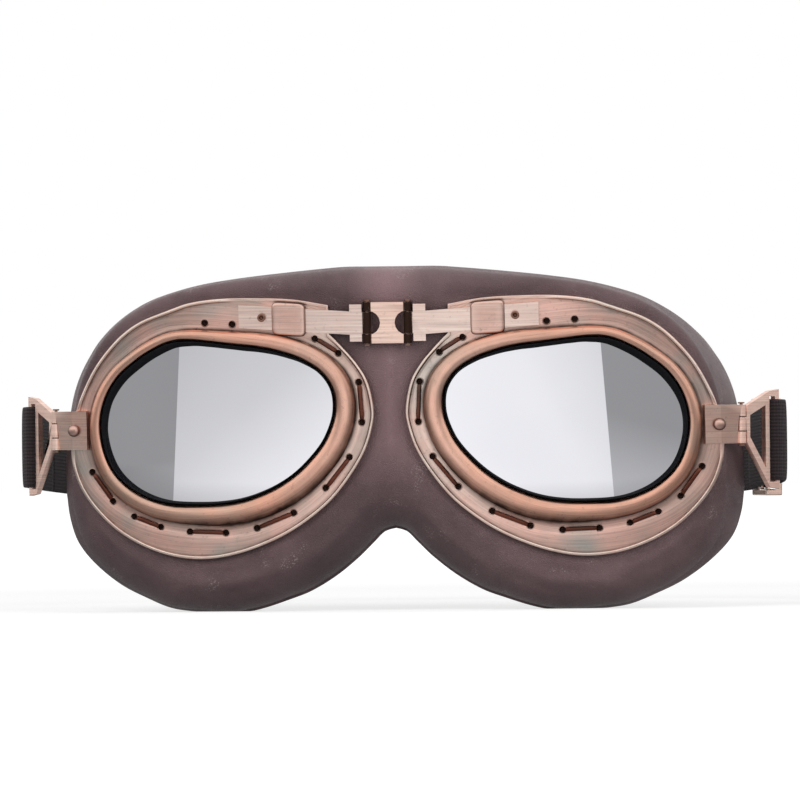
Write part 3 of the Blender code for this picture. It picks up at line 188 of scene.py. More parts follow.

# %% [markdown]
# ## Floor, sky and lamps
# The goggles stand on a white floor in a white room. What the camera sees straight is plain white.
# Metal and mirror see a painted reflection of the floor: it glows for them alone, dimmer where it runs out
# to the sides, as on a lit table, and with a painted shade close to the goggles. The floor keeps their
# soft shadow. Three broad lamps, high on the left, on the right and overhead, light the leather and the
# floor. They are hidden from reflections, because the picture's metal has soft tones and no white streaks.

# %% Sky and floor
SKY_LIGHT = 0.28
FLOOR_WIDTH, FLOOR_TONE, FLOOR_GLOW, FAR_START, FAR_END = 8.0, 0.45, 0.66, 0.30, 0.80
NEAR_SHADE, NEAR_FRONT, NEAR_END = 0.50, -0.185, -0.145
# Steps of the floor's glow for metal and mirror only, by distance sideways from the middle: a painted
# reflection, darker to the sides.
painted_reflection_steps = [(0.03, 1.0), (0.070, 0.93), (0.104, 0.70), (0.197, 0.44), (0.234, 0.33), (0.50, 0.34)]
WHITE = (1, 1, 1)


def ray_kinds(tree):
    """Whether a ray comes straight from the camera, and whether it met gloss or glass before."""
    rays = add_node(tree, "LightPath").outputs
    bounced = arithmetic(tree, "MAXIMUM", rays["Is Glossy Ray"], rays["Is Transmission Ray"])
    return rays["Is Camera Ray"], bounced


world = bpy.data.worlds.new("room")
bpy.context.scene.world = world
world.use_nodes = True
tree = world.node_tree
tree.nodes.clear()
strength = remapped(tree, arithmetic(tree, "MAXIMUM", *ray_kinds(tree)), 0.0, 1.0, SKY_LIGHT, 1.0)
sky = add_node(tree, "Background", {"Color": WHITE, "Strength": strength})
add_node(tree, "OutputWorld", {"Surface": sky.outputs[0]})

bpy.ops.mesh.primitive_plane_add(size=FLOOR_WIDTH, location=(0, 0, 0))
floor = bpy.context.object
floor.name = "floor"
floor_material = bpy.data.materials.new("white floor")
floor_material.use_nodes = True
tree = floor_material.node_tree
tree.nodes.clear()
straight, bounced = ray_kinds(tree)
spot = place_of(tree)
distance = add_node(tree, "VectorMath", {0: spot}, operation="LENGTH").outputs["Value"]
far = remapped(tree, distance, FAR_START, FAR_END, FLOOR_GLOW, 1.0)
plain = add_node(tree, "BsdfDiffuse", {"Color": (FLOOR_TONE,) * 3})
glow = add_node(tree, "Emission", {"Color": WHITE, "Strength": product(tree, straight, far)})
lit = add_node(tree, "AddShader", {0: plain.outputs[0], 1: glow.outputs[0]})
apart = parts_of(tree, spot)
ramp = add_node(tree, "ValToRGB", {"Fac": arithmetic(tree, "ABSOLUTE", apart["X"])})
for _ in painted_reflection_steps[2:]:
    ramp.color_ramp.elements.new(0.5)
for stop, (place, shade) in zip(ramp.color_ramp.elements, painted_reflection_steps):
    stop.position = place
    stop.color = (shade, shade, shade * 1.01, 1)
# Close to the goggles the reflected glow is dimmed: a painted shade seen only in reflections.
near = remapped(tree, apart["Y"], NEAR_FRONT, NEAR_END, 1.0, NEAR_SHADE)
mirrored = add_node(tree, "Emission", {"Color": ramp.outputs[0], "Strength": near})
both = add_node(tree, "MixShader", {0: bounced, 1: lit.outputs[0], 2: mirrored.outputs[0]})
add_node(tree, "OutputMaterial", {"Surface": both.outputs[0]})
floor.data.materials.append(floor_material)
print("floor", floor.dimensions[0], "m wide, reflections in", len(painted_reflection_steps), "steps")

# %% Lamps
lamp_places = [((-0.70, -0.90, 0.80), 0.95, 9.6), ((0.80, -0.85, 0.55), 0.85, 6.9),
               ((0.05, 0.10, 1.20), 0.70, 2.0)]  # place, width, power
for number, (spot, size, power) in enumerate(lamp_places, start=1):
    lamp = bpy.data.lights.new(f"lamp_{number}", "AREA")
    lamp.size, lamp.energy = size, power
    holder = bpy.data.objects.new(f"lamp_{number}", lamp)
    holder.visible_glossy = False
    bpy.context.scene.collection.objects.link(holder)
    towards = Vector(spot) - Vector(VIEW_AIM)
    holder.matrix_world = Matrix.Translation(spot) @ towards.to_track_quat("Z", "Y").to_matrix().to_4x4()
print("lamps", len(lamp_places))

# %% [markdown]
# ## Surfaces on a grid
# Almost every piece here is a grid of points: rows run across the piece's profile and columns run round
# the eye or along a path. numpy works out all the points at once, and one helper turns the grid into a
# mesh, with extra values at each point that the finishes read, such as where the metal is worn, where it
# is dark with patina, and where highlight and shade are painted on it.

# %% Grid surfaces
def grid_faces(rows, columns, around, closed):
    """Four-sided faces of a grid: around joins the last column to the first, and closed the last row."""
    index = np.arange(rows * columns).reshape(rows, columns)
    if around:
        index = np.hstack([index, index[:, :1]])
    if closed:
        index = np.vstack([index, index[:1]])
    return np.stack([index[:-1, :-1], index[:-1, 1:], index[1:, 1:], index[1:, :-1]], axis=-1)


def faces_out(points, quads):
    """Whether faces look outwards: the sum of each one's way from the middle, dotted with its normal."""
    corners = points[quads]
    away = corners.mean(axis=1) - corners.mean(axis=(0, 1))
    square = np.cross(corners[:, 2] - corners[:, 0], corners[:, 3] - corners[:, 1])
    return (away * square).sum() > 0


def add_surface(name, grids, body, material, around=True, closed=True, keep=None, caps=False,
                values=None):
    """One piece from grids of points of one size, each rows by columns by three.

    keep leaves out faces where it is false, caps fills the first and last row, and values holds numbers
    or vectors for the grids' points under the names that the finishes read them by.
    """
    grids = np.asarray(grids, float)
    grids = grids[None] if grids.ndim == 3 else grids
    count, rows, columns = grids.shape[:3]
    quads = grid_faces(rows, columns, around, closed)
    quads = quads[keep] if keep is not None else quads.reshape(-1, 4)
    outwards = faces_out(grids[0].reshape(-1, 3), quads)
    faces = (quads[None] + np.arange(count)[:, None, None] * rows * columns).reshape(-1, 4).tolist()
    if caps:
        first, last = np.arange(columns), np.arange(columns) + (rows - 1) * columns
        faces += [(end + k * rows * columns).tolist() for k in range(count) for end in (first[::-1], last)]
    faces = faces if outwards else [face[::-1] for face in faces]
    mesh = bpy.data.meshes.new(name)
    mesh.from_pydata(grids.reshape(-1, 3).tolist(), [], faces)
    for label, value in (values or {}).items():
        vector = np.ndim(value) > 2 and np.shape(value)[-1] == 3
        layer = mesh.attributes.new(label, "FLOAT_VECTOR" if vector else "FLOAT", "POINT")
        spread = np.broadcast_to(value, (count, rows, columns, 3)[:3 + vector]).astype(np.float32)
        layer.data.foreach_set("vector" if vector else "value", spread.ravel())
    return add_mesh(mesh, body, material)


def add_mesh(mesh, body, material, sharp=180.0):
    """A piece from a mesh, smooth where faces meet at less than the sharp angle, riding on its body."""
    mesh.shade_smooth()
    mesh.set_sharp_from_angle(angle=math.radians(sharp))
    mesh.materials.append(material)
    piece = bpy.data.objects.new(mesh.name, mesh)
    bpy.context.scene.collection.objects.link(piece)
    if body:
        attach(piece, body)
    return piece


def settle(piece, sharp):
    """Turns a piece's modifiers into mesh, crisp where faces meet at the sharp angle or more."""
    graph = bpy.context.evaluated_depsgraph_get()
    mesh = bpy.data.meshes.new_from_object(piece.evaluated_get(graph))
    piece.modifiers.clear()
    piece.data = mesh
    mesh.set_sharp_from_angle(angle=math.radians(sharp))


print("surface helpers ready")

# %% Small formulas for shapes
def smoothstep(low, high, value):
    """Nought below low, one above high, and t * t * (3 - 2 * t) between."""
    t = np.clip((value - low) / (high - low), 0.0, 1.0)
    return t * t * (3 - 2 * t)


def bell(value, middle, width):
    """One at the middle, falling off as exp of minus the square of the distance over the width."""
    return np.exp(-((value - middle) / width) ** 2)


def powered(value, exponent):
    """A power that keeps the sign: with one below one it makes a circle's cosine and sine squarish."""
    return np.sign(value) * np.abs(value) ** exponent


def full_turn(count):
    return np.linspace(0.0, 2 * math.pi, count, endpoint=False)


def round_ring(count):
    """Points of a circle of radius one."""
    return np.column_stack([np.cos(full_turn(count)), np.sin(full_turn(count))])


def unit(rows, soft=0.0):
    """Each row at length one; soft keeps rows of no length at nought."""
    return rows / (np.linalg.norm(rows, axis=1)[:, None] + soft)


def walked(line):
    """Distance along a line at each of its points."""
    return np.concatenate([[0.0], np.cumsum(np.linalg.norm(np.diff(line, axis=0), axis=1))])


def at_walk(line, places):
    """Points of a line at walked distances."""
    walk = walked(line)
    return np.column_stack([np.interp(places, walk, line[:, k]) for k in range(line.shape[1])])


def leftwards(line):
    """Unit vectors that point to the left of a line."""
    run = unit(np.gradient(line, axis=0))
    return np.column_stack([-run[:, 1], run[:, 0]])


def side_name(side):
    return "left" if side < 0 else "right"


print("shape formulas ready")

# %% [markdown]
# ## The surface that the eyes lie on
# Each eye is drawn flat, seen from the front, and then laid on a surface that is flat at the nose, slopes
# back towards the temple and slopes more past the fold in the lens. Both eyes use the same drawing, with
# the sideways distance turned round for the left one.

# %% Sizes of the eye, and the front surface
DEPTH_SHIFT = 0.07533
EYE_CENTRE = np.array([0.04799, 0.0525])
EYE_SIZE = np.array([0.0335, 0.0221])
FRAME_SIZE = np.array([0.0429, 0.0342])
MASK_SIZE = np.array([0.0950, 0.0945])
BRIDGE_Z, SIDE_PLATE_Z = 0.0795, 0.0506
FRONT_TAN, SIDE_TAN, PITCH_TAN = np.tan(np.radians([6.0, 23.0, 8.0]))
CREASE_U, CREASE_LEAN, BEND_WIDTH, BRIDGE_FLAT = 0.05969, 0.067, 0.004, 0.004
PLATE_WALL, GAP = 0.0009, 0.0003


def past_crease(flat):
    """Sideways distance from the lens's fold, which leans a little."""
    return flat[..., 0] - CREASE_U - (EYE_CENTRE[1] - flat[..., 1]) * CREASE_LEAN


def front_y(flat, bend=BEND_WIDTH):
    """Depth of the front surface: slopes times the distances past the flat bridge and past the crease."""
    over = past_crease(flat)
    past = bend * np.logaddexp(0.0, over / bend) if bend else np.maximum(over, 0.0)
    slope = FRONT_TAN * np.maximum(flat[..., 0] - BRIDGE_FLAT, 0.0) + (SIDE_TAN - FRONT_TAN) * past
    return slope + (BRIDGE_Z - flat[..., 1]) * PITCH_TAN - DEPTH_SHIFT


def stood(side, flat, y, lowest=0.0):
    """Points of the flat drawing stood at their depths, none of them below the lowest height."""
    return np.stack([side * flat[..., 0], y, np.maximum(flat[..., 1], lowest)], axis=-1)


def lay(side, flat, rise=0.0, bend=BEND_WIDTH):
    """Points of the flat drawing stood on the front surface, each with its rise towards the viewer."""
    return stood(side, flat, front_y(flat, bend) - rise)


print("front surface falls back", round(float(front_y(MASK_SIZE * [1, 0.5]) + DEPTH_SHIFT) * 1000, 1), "mm")

# %% [markdown]
# ## Outlines round the eye
# Three outlines are drawn as shares of a size: the lens opening, the copper plate and the leather. A
# Catmull-Rom curve runs through each list of points. Every outline is then read off along the same rays
# from the eye's centre, so that a point on one faces a point on the next, and rings and sheets between
# them have straight, even columns.

# %% Outlines of the opening, the plate and the leather
opening_shares = [
    (1.0, 0.0), (0.953, 0.307), (0.844, 0.570), (0.693, 0.763), (0.541, 0.905), (0.385, 0.998),
    (0.222, 1.018), (0.070, 1.000), (-0.068, 0.975), (-0.204, 0.950), (-0.354, 0.922), (-0.521, 0.867),
    (-0.705, 0.767), (-0.866, 0.610), (-0.960, 0.394), (-0.975, 0.130), (-0.925, -0.123),
    (-0.839, -0.341), (-0.680, -0.595), (-0.513, -0.777), (-0.343, -0.901), (-0.175, -0.980),
    (0.0, -1.018), (0.182, -1.025), (0.387, -1.010), (0.571, -0.950), (0.751, -0.815), (0.897, -0.600),
    (0.978, -0.315)]
plate_round_shares = [
    (0.3029, 0.9163), (0.4915, 0.8301), (0.6186, 0.7338), (0.7267, 0.6071), (0.8241, 0.455),
    (0.8983, 0.2902), (0.9534, 0.1254), (0.9915, -0.0723), (1, -0.2549), (0.9788, -0.407),
    (0.9237, -0.5641), (0.8305, -0.7188), (0.7076, -0.8633), (0.555, -0.9799), (0.3898, -1.061),
    (0.2245, -1.1016), (0.0592, -1.1041), (-0.1167, -1.0636), (-0.2798, -0.9951), (-0.4408, -0.9013),
    (-0.5892, -0.7822), (-0.7332, -0.6301), (-0.8583, -0.4374), (-0.9557, -0.2346), (-1.0066, -0.0394),
    (-1.0172, 0.1051), (-0.979, 0.3231), (-0.9006, 0.4854), (-0.8116, 0.6121), (-0.7375, 0.7009)]
plate_top_shares = [
    (-0.7332, 0.9366), (-0.5044, 0.9848), (-0.2501, 1), (-0.0171, 0.9975), (0.1736, 0.967),
    (0.3029, 0.9163)]
mask_low_shares = [
    (1.0, 0.35), (0.990, 0.275), (0.964, 0.205), (0.908, 0.142), (0.829, 0.085), (0.747, 0.046),
    (0.674, 0.018), (0.6, 0.007), (0.526, 0.001), (0.463, 0.002), (0.395, 0.016), (0.321, 0.040),
    (0.253, 0.066), (0.179, 0.110), (0.116, 0.160), (0.0737, 0.2011), (0.036, 0.2373), (0.0, 0.2487)]
mask_high_shares = [
    (0.0, 1.0), (0.065, 1.0), (0.13, 1.0), (0.19, 0.996), (0.321, 0.984), (0.463, 0.968), (0.579, 0.949),
    (0.695, 0.917), (0.768, 0.884), (0.832, 0.842), (0.884, 0.793), (0.918, 0.747), (0.945, 0.702),
    (0.966, 0.652), (0.980, 0.600), (0.991, 0.529), (0.999, 0.444), (1.0, 0.35)]
print("points", len(opening_shares), len(plate_round_shares + plate_top_shares),
      len(mask_low_shares + mask_high_shares))

# %% Outlines along the same rays
CORNER_STEPS = np.array([0.0002, 0.0005, 0.0009, 0.0014, 0.0020, 0.0028, 0.0038, 0.0050])
RAY_COUNT, EDGE_GRACE = 300, 1e-9


def curve(points, closed=False, steps=16):
    """Catmull-Rom curve: on each span a cubic in t whose slope at a point is half the chord about it."""
    p = np.asarray(points, float)
    p = np.vstack([p[-1], p, p[:2]]) if closed else np.vstack([2 * p[0] - p[1], p, 2 * p[-1] - p[-2]])
    t = np.linspace(0.0, 1.0, steps, endpoint=False)[None, :, None]
    a, b, c, d = (p[k:len(p) - 3 + k, None] for k in range(4))
    dense = 0.5 * (2 * b + (c - a) * t + (2 * a - 5 * b + 4 * c - d) * t ** 2
                   + (3 * b - a - 3 * c + d) * t ** 3)
    dense = dense.reshape(-1, p.shape[1])
    return dense if closed else np.vstack([dense, p[-2]])


def angles_of(points):
    """Angle of each point of the flat drawing as seen from the eye's centre."""
    away = np.asarray(points) - EYE_CENTRE
    return np.arctan2(away[..., 1], away[..., 0])


def along_rays(line):
    """Where the rays from the eye's centre cross an outline: its reach at each angle, times the ray."""
    angle, reach = angles_of(line), np.linalg.norm(line - EYE_CENTRE, axis=1)
    order = np.argsort(angle)
    reach = np.interp(ray_angles, angle[order], reach[order], period=2 * math.pi)
    return EYE_CENTRE + reach[:, None] * np.column_stack([np.cos(ray_angles), np.sin(ray_angles)])


opening_line = curve(EYE_CENTRE + np.array(opening_shares) * EYE_SIZE, closed=True)
plate_round = curve(EYE_CENTRE + np.array(plate_round_shares) * FRAME_SIZE)
plate_top = curve(EYE_CENTRE + np.array(plate_top_shares) * FRAME_SIZE)
plate_step = np.linspace(plate_round[-1], plate_top[0], 30)[1:-1]
mask_low = curve(np.array(mask_low_shares) * MASK_SIZE)
mask_high = curve(np.array(mask_high_shares) * MASK_SIZE)
nose_line = np.linspace(mask_low[-1], mask_high[0], 120)

nose_ends = np.concatenate([nose_line[0] + np.outer(CORNER_STEPS, [0, 1]),
                            nose_line[-1] - np.outer(CORNER_STEPS, [0, 1]), nose_line[[0, -1]]])
ray_angles = np.sort(np.concatenate([np.linspace(-math.pi, math.pi, RAY_COUNT, endpoint=False),
                                     angles_of(nose_ends), angles_of(plate_step[[0, -1]])]))
opening = along_rays(opening_line)
plate_edge = along_rays(np.vstack([plate_round, plate_step, plate_top]))
mask_edge = along_rays(np.vstack([mask_low, nose_line[1:-1], mask_high]))
nose_span = angles_of(nose_line[[-1, 0]]) % (2 * math.pi)
turn_full = ray_angles % (2 * math.pi)
on_nose = (turn_full >= nose_span[0] - EDGE_GRACE) & (turn_full <= nose_span[1] + EDGE_GRACE)
mask_edge[on_nose, 0] = 0.0
inside_nose = (turn_full > nose_span[0] + EDGE_GRACE) & (turn_full < nose_span[1] - EDGE_GRACE)
print("columns", len(ray_angles), "of which at the nose", int(on_nose.sum()))

# %% Ways out of the opening, and values round it
RIM_WIDTH, RIM_SPREAD, RIM_WIDEST = 0.0048, 0.38, math.radians(225.0)


def outward(line):
    """Unit vectors square to a closed outline: the chord about each point, turned a quarter."""
    run = np.roll(line, -1, axis=0) - np.roll(line, 1, axis=0)
    return unit(np.column_stack([run[:, 1], -run[:, 0]]))


def brushing(across):
    """Points for rubbed lines that follow the eye: round a circle on two axes, and across on the third."""
    across = np.broadcast_to(across, (np.shape(across)[0], len(ray_angles)))
    ring = np.stack([np.cos(ray_angles), np.sin(ray_angles)], axis=-1) * EYE_SIZE[0] * 1.2
    return np.concatenate([np.broadcast_to(ring, (*across.shape, 2)), across[..., None]], axis=-1)


def facing(degrees):
    """One on the side of the eye at that angle and nought opposite; 180 degrees is the nose."""
    return 0.5 + 0.5 * np.cos(ray_angles - math.radians(degrees))


def evened(values, width):
    """Values round the eye, each averaged with its neighbours under a bell of that many points."""
    weights, reach = np.hanning(width), width // 2
    looped = np.concatenate([values[-reach:], values, values[:reach]])
    return np.convolve(looped, weights / weights.sum(), "valid")


out = outward(opening)
rim_width = RIM_WIDTH * (1 + RIM_SPREAD * np.cos(ray_angles - RIM_WIDEST))
print("rim", (rim_width.min() * 1000).round(1), "to", (rim_width.max() * 1000).round(1), "mm wide")

# %% [markdown]
# ## Copper
# The metal is copper-plated, brushed round the eyes, then blackened and rubbed back. Three effects make
# that look: fine lines along the brushing, slow changes of tint between salmon and grey-green, and a
# last layer that is dark in the recesses and bright where hands and polish reach. That last layer also
# paints light: some of its dark places are painted shade, at the rim's feet, in the holes, at the hinges
# and on the keepers' sides, and some bright places are painted highlight on the nose side. Each of the
# three is a node group, and every copper finish below uses all three with its own values.

# %% Node groups for copper
def brushed_lines():
    """Noise pulled out along the brushing: slow along the first two axes and fast along the third."""
    group, start, end = new_group("brushed lines", {"Vector": "Vector", "Fineness": "Float"},
                                  {"Tone": "Float", "Height": "Float"})
    spread = add_node(group, "CombineXYZ", {"X": 45.0, "Y": 45.0, "Z": start["Fineness"]})
    pulled = add_node(group, "VectorMath", {0: start["Vector"], 1: spread.outputs[0]},
                      operation="MULTIPLY").outputs[0]
    tone, fine = noise(group, pulled, 1.0, 4.0, 0.62), noise(group, pulled, 3.1)
    feed(group, end, {"Tone": remapped(group, tone, 0.3, 0.7),
                      "Height": arithmetic(group, "ADD", product(group, tone, 0.6), fine)})
    return group


def antique_tints():
    """Two slow noises that lead the base colour towards a salmon tint and towards a grey-green one."""
    group, start, end = new_group("antique tints", {"Vector": "Vector", "Base": "Color", "Salmon": "Color",
                                                    "Grey": "Color", "Tone": "Float"}, {"Color": "Color"})
    slow = remapped(group, noise(group, start["Vector"], 75.0, 3.0), 0.42, 0.60)
    other = remapped(group, noise(group, start["Vector"], 48.0), 0.51, 0.68)
    grey = mixed(group, other, mixed(group, slow, start["Base"], start["Salmon"]), start["Grey"])
    lines = remapped(group, start["Tone"], 0.0, 1.0, 0.74, 1.12)
    shade = add_node(group, "CombineColor", {"Red": lines, "Green": lines, "Blue": lines})
    feed(group, end, {"Color": mixed(group, 1.0, grey, shade.outputs[0], "MULTIPLY")})
    return group


def patina_and_painted_light():
    """Dark where the darkening value is high, broken up by noise, and bright where the rubbing value is
    high; the values carry patina and rubbing, and also painted shade and painted highlight.
    """
    group, start, end = new_group(
        "patina and painted light", {"Vector": "Vector", "Color": "Color", "Bright": "Color", "Dark": "Color",
                          "Wear": "Float", "Recess": "Float"}, {"Color": "Color", "Roughness": "Float"})
    speckle = noise(group, start["Vector"], 900.0, 3.0, 0.6)
    patchy = noise(group, start["Vector"], 260.0)
    wear_and_highlight = product(group, start["Wear"], remapped(group, patchy, 0.25, 0.6, 0.45, 1.0))
    depth = arithmetic(group, "ADD", start["Recess"], remapped(group, speckle, 0.60, 0.78, 0.0, 0.30))
    dark = product(group, depth, remapped(group, patchy, 0.2, 0.7, 1.1, 0.7), clamp=True)
    bright = mixed(group, wear_and_highlight, start["Color"], start["Bright"])
    rough = arithmetic(group, "SUBTRACT", remapped(group, dark, 0.0, 1.0, 0.34, 0.60),
                       product(group, wear_and_highlight, 0.08))
    feed(group, end, {"Color": mixed(group, dark, bright, start["Dark"]), "Roughness": rough})
    return group


brush_group, tint_group, patina_light_group = brushed_lines(), antique_tints(), patina_and_painted_light()
print("copper groups", [group.name for group in (brush_group, tint_group, patina_light_group)])

# %% Copper finishes
COPPER_DARK, BRUSH_FINENESS = (0.045, 0.024, 0.018), 2600.0
HINGE_X, BARREL_RADIUS, BARREL_END = 0.0057, 0.0011, 0.0013


def copper(name, base, salmon, grey, bright, rings=False, wear_and_highlight=0.0, recess_and_shade=0.0, hinge=False, bump=0.35):
    """A copper finish. rings reads the piece's own brushing and its values for rubbing and darkening, which
    hold real rubbing and patina and also painted highlight and shade; without it the brushing runs along X,
    and both values are the same all over, but for the hinges' barrels, darkened with patina and painted
    shade."""
    material, tree, shader = new_material(name, Metallic=1.0)
    place = flow = place_of(tree)
    if rings:
        flow, wear_and_highlight, recess_and_shade = own(tree, "brushing", "Vector"), own(tree, "wear_and_highlight"), own(tree, "recess_and_shade")
    # Beside each hinge pin the barrels are darkened: patina, and a painted shade for the gap round the pin.
    if hinge:
        off = arithmetic(tree, "ABSOLUTE", parts_of(tree, place)["X"])
        off = arithmetic(tree, "ABSOLUTE", arithmetic(tree, "SUBTRACT", off, HINGE_X))
        recess_and_shade = remapped(tree, off, BARREL_RADIUS, BARREL_END, 1.35, 0.0)
    lines = grouped(tree, brush_group, Vector=flow, Fineness=BRUSH_FINENESS)
    tints = grouped(tree, tint_group, Vector=place, Tone=lines["Tone"], Base=base, Salmon=salmon, Grey=grey)
    # The last layer paints shade and highlight as well as patina and rubbing.
    patina = grouped(tree, patina_light_group, Vector=place, Color=tints[0], Bright=bright, Dark=COPPER_DARK,
                     Wear=wear_and_highlight, Recess=recess_and_shade)
    feed(tree, shader, {"Base Color": patina["Color"], "Roughness": patina["Roughness"]})
    emboss(tree, shader, lines["Height"], bump, 0.00006)
    return material


plate_copper = copper("plate copper", (0.82, 0.57, 0.485), (0.99, 0.62, 0.52), (0.57, 0.54, 0.49),
                      (0.98, 0.80, 0.70), rings=True)
rim_copper = copper("rim copper", (0.81, 0.46, 0.34), (0.95, 0.50, 0.36), (0.67, 0.46, 0.36),
                    (0.96, 0.58, 0.45), rings=True)
bridge_copper = copper("bridge copper", (1.0, 0.72, 0.60), (1.0, 0.68, 0.57), (0.94, 0.72, 0.62),
                       (1.0, 0.88, 0.78), hinge=True, bump=0.18)
arm_copper = copper("arm copper", (1.0, 0.78, 0.69), (1.0, 0.74, 0.64), (0.98, 0.78, 0.70),
                    (1.0, 0.90, 0.83), hinge=True, bump=0.15)
keeper_copper = copper("keeper copper", (0.82, 0.54, 0.45), (0.90, 0.56, 0.47), (0.62, 0.50, 0.42),
                       (1.0, 0.80, 0.70), rings=True)
# Side plates, loops and slider are paler than the plate: partly their own tone, and partly raised to make
# up for the dim reflections on the sides, which is painted light.
lightened_side_copper = copper("lightened side copper", (1.0, 0.70, 0.59), (1.0, 0.66, 0.55), (0.95, 0.72, 0.62),
                     (1.0, 0.80, 0.70), bump=0.22)
edge_copper = copper("worn edge copper", (0.95, 0.72, 0.60), (0.98, 0.70, 0.58), (0.84, 0.68, 0.58),
                     (1.0, 0.88, 0.78), wear_and_highlight=0.6)
pin_copper = copper("pin copper", (0.42, 0.25, 0.19), (0.46, 0.25, 0.18), (0.34, 0.26, 0.21),
                    (0.9, 0.66, 0.52), recess_and_shade=0.35)
lace_copper = copper("lace copper", (0.17, 0.062, 0.042), (0.22, 0.070, 0.046), (0.11, 0.070, 0.056),
                     (0.62, 0.32, 0.22), recess_and_shade=0.12)
print("copper finishes", [m.name for m in bpy.data.materials if "copper" in m.name])

# %% [markdown]
# ## Raised rim
# A stout rounded rim holds the lens. Its cross-section is a squarish arch, wider towards the lower nose
# side, carried round the opening. The crown is rubbed bright, less so towards the lower nose side, which
# is a painted shade, and the nose side carries a painted highlight. Both feet are dark with patina and a
# painted shade, and the outer slope at the lower nose side is the darkest, patina with a painted shade.

# %% Raised rims
RIM_HEIGHT, RIM_SQUARENESS = 0.0042, 2.5


def make_rim(side):
    """Arch: share and rise are the cosine and sine of a half turn, each raised to two over squareness."""
    turn = np.linspace(0.0, math.pi, 17)
    share = 0.5 - 0.5 * powered(np.cos(turn), 2 / RIM_SQUARENESS)
    rise = powered(np.sin(turn), 2 / RIM_SQUARENESS)
    flat = opening + out * (share[:, None] * rim_width)[..., None]
    high = GAP + rise[:, None] * (RIM_HEIGHT - GAP) * np.ones(len(opening))
    nose_low, nose_high = facing(245.0), smoothstep(0.70, 1.0, facing(170.0))
    # The crown is rubbed bright, less towards the lower nose side, which is a painted shade; the nose side
    # gets a painted highlight.
    wear_and_highlight = (bell(share, 0.35, 0.20)[:, None] * (0.35 - 0.30 * nose_low)
            + bell(share, 0.50, 0.30)[:, None] * nose_high * 0.8)
    # Both feet are dark: patina, and a painted shade where the rim meets the plate and the seal. The outer
    # slope at the lower nose side is darker still, patina with a painted shade.
    feet = 1 - smoothstep(0.0, 0.80, rise)
    recess_and_shade = feet[:, None] * 0.95 + smoothstep(0.48, 0.95, share)[:, None] * nose_low ** 2
    name = side_name(side)
    piece = add_surface("fine_bezel_" + name, lay(side, flat, high), name + "_eye",
                        rim_copper, values={"brushing": brushing(share[:, None] * rim_width),
                                            "wear_and_highlight": wear_and_highlight, "recess_and_shade": recess_and_shade})
    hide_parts("bezel_" + name)


for side in (-1, 1):
    make_rim(side)
print("rims stand", RIM_HEIGHT * 1000, "mm proud")

# %% [markdown]
# ## Copper plate
# The plate round each eye is pressed from thin sheet: a shallow channel beside the rim, a wider brushed
# band, and an edge rolled over a wire. The roll flattens out where the bridge arm and the side plate
# lie on it. The lacing holes are cut with a Boolean, which leaves true holes that show the leather.

# %% Places of the lacing holes
HOLE_INSET, HOLE_RADIUS = 0.0020, 0.00085
lace_shares = np.array([0.0, 0.049, 0.199, 0.248, 0.311, 0.382, 0.448, 0.517, 0.59, 0.661, 0.718, 0.782,
                        0.836, 0.888, 0.936, 1.0])
LACE_START, LACE_END = 83.0, 340.0


def lace_spots():
    """Points at set shares of the length of a line just outside the rim, from one angle to the other."""
    line = opening + out * (rim_width + HOLE_INSET)[:, None]
    turned = (np.degrees(angles_of(line)) - LACE_START) % 360.0
    order = np.argsort(turned)
    line = line[order][turned[order] <= LACE_END - LACE_START]
    return at_walk(line, lace_shares * walked(line)[-1])


holes = lace_spots()
print("holes", len(holes))

# %% Copper plates with their lacing holes
ROLL_RISE, ROLL_WIDTH, CHANNEL_DEPTH = 0.00055, 0.0011, 0.00028
CHANNEL_MIDDLE, CHANNEL_WIDTH = 0.0018, 0.0016
ARM_TAN, ARM_START_U, ARM_HALF, ARM_END_U = math.tan(math.radians(4.0)), 0.0105, 0.0052, 0.045
SIDE_HALF, SIDE_START_U = 0.0062, 0.080


def arm_z(u):
    """Height of the middle of the bridge's arm, which rises gently outwards."""
    return BRIDGE_Z + ARM_TAN * np.maximum(u - ARM_START_U, 0.0)


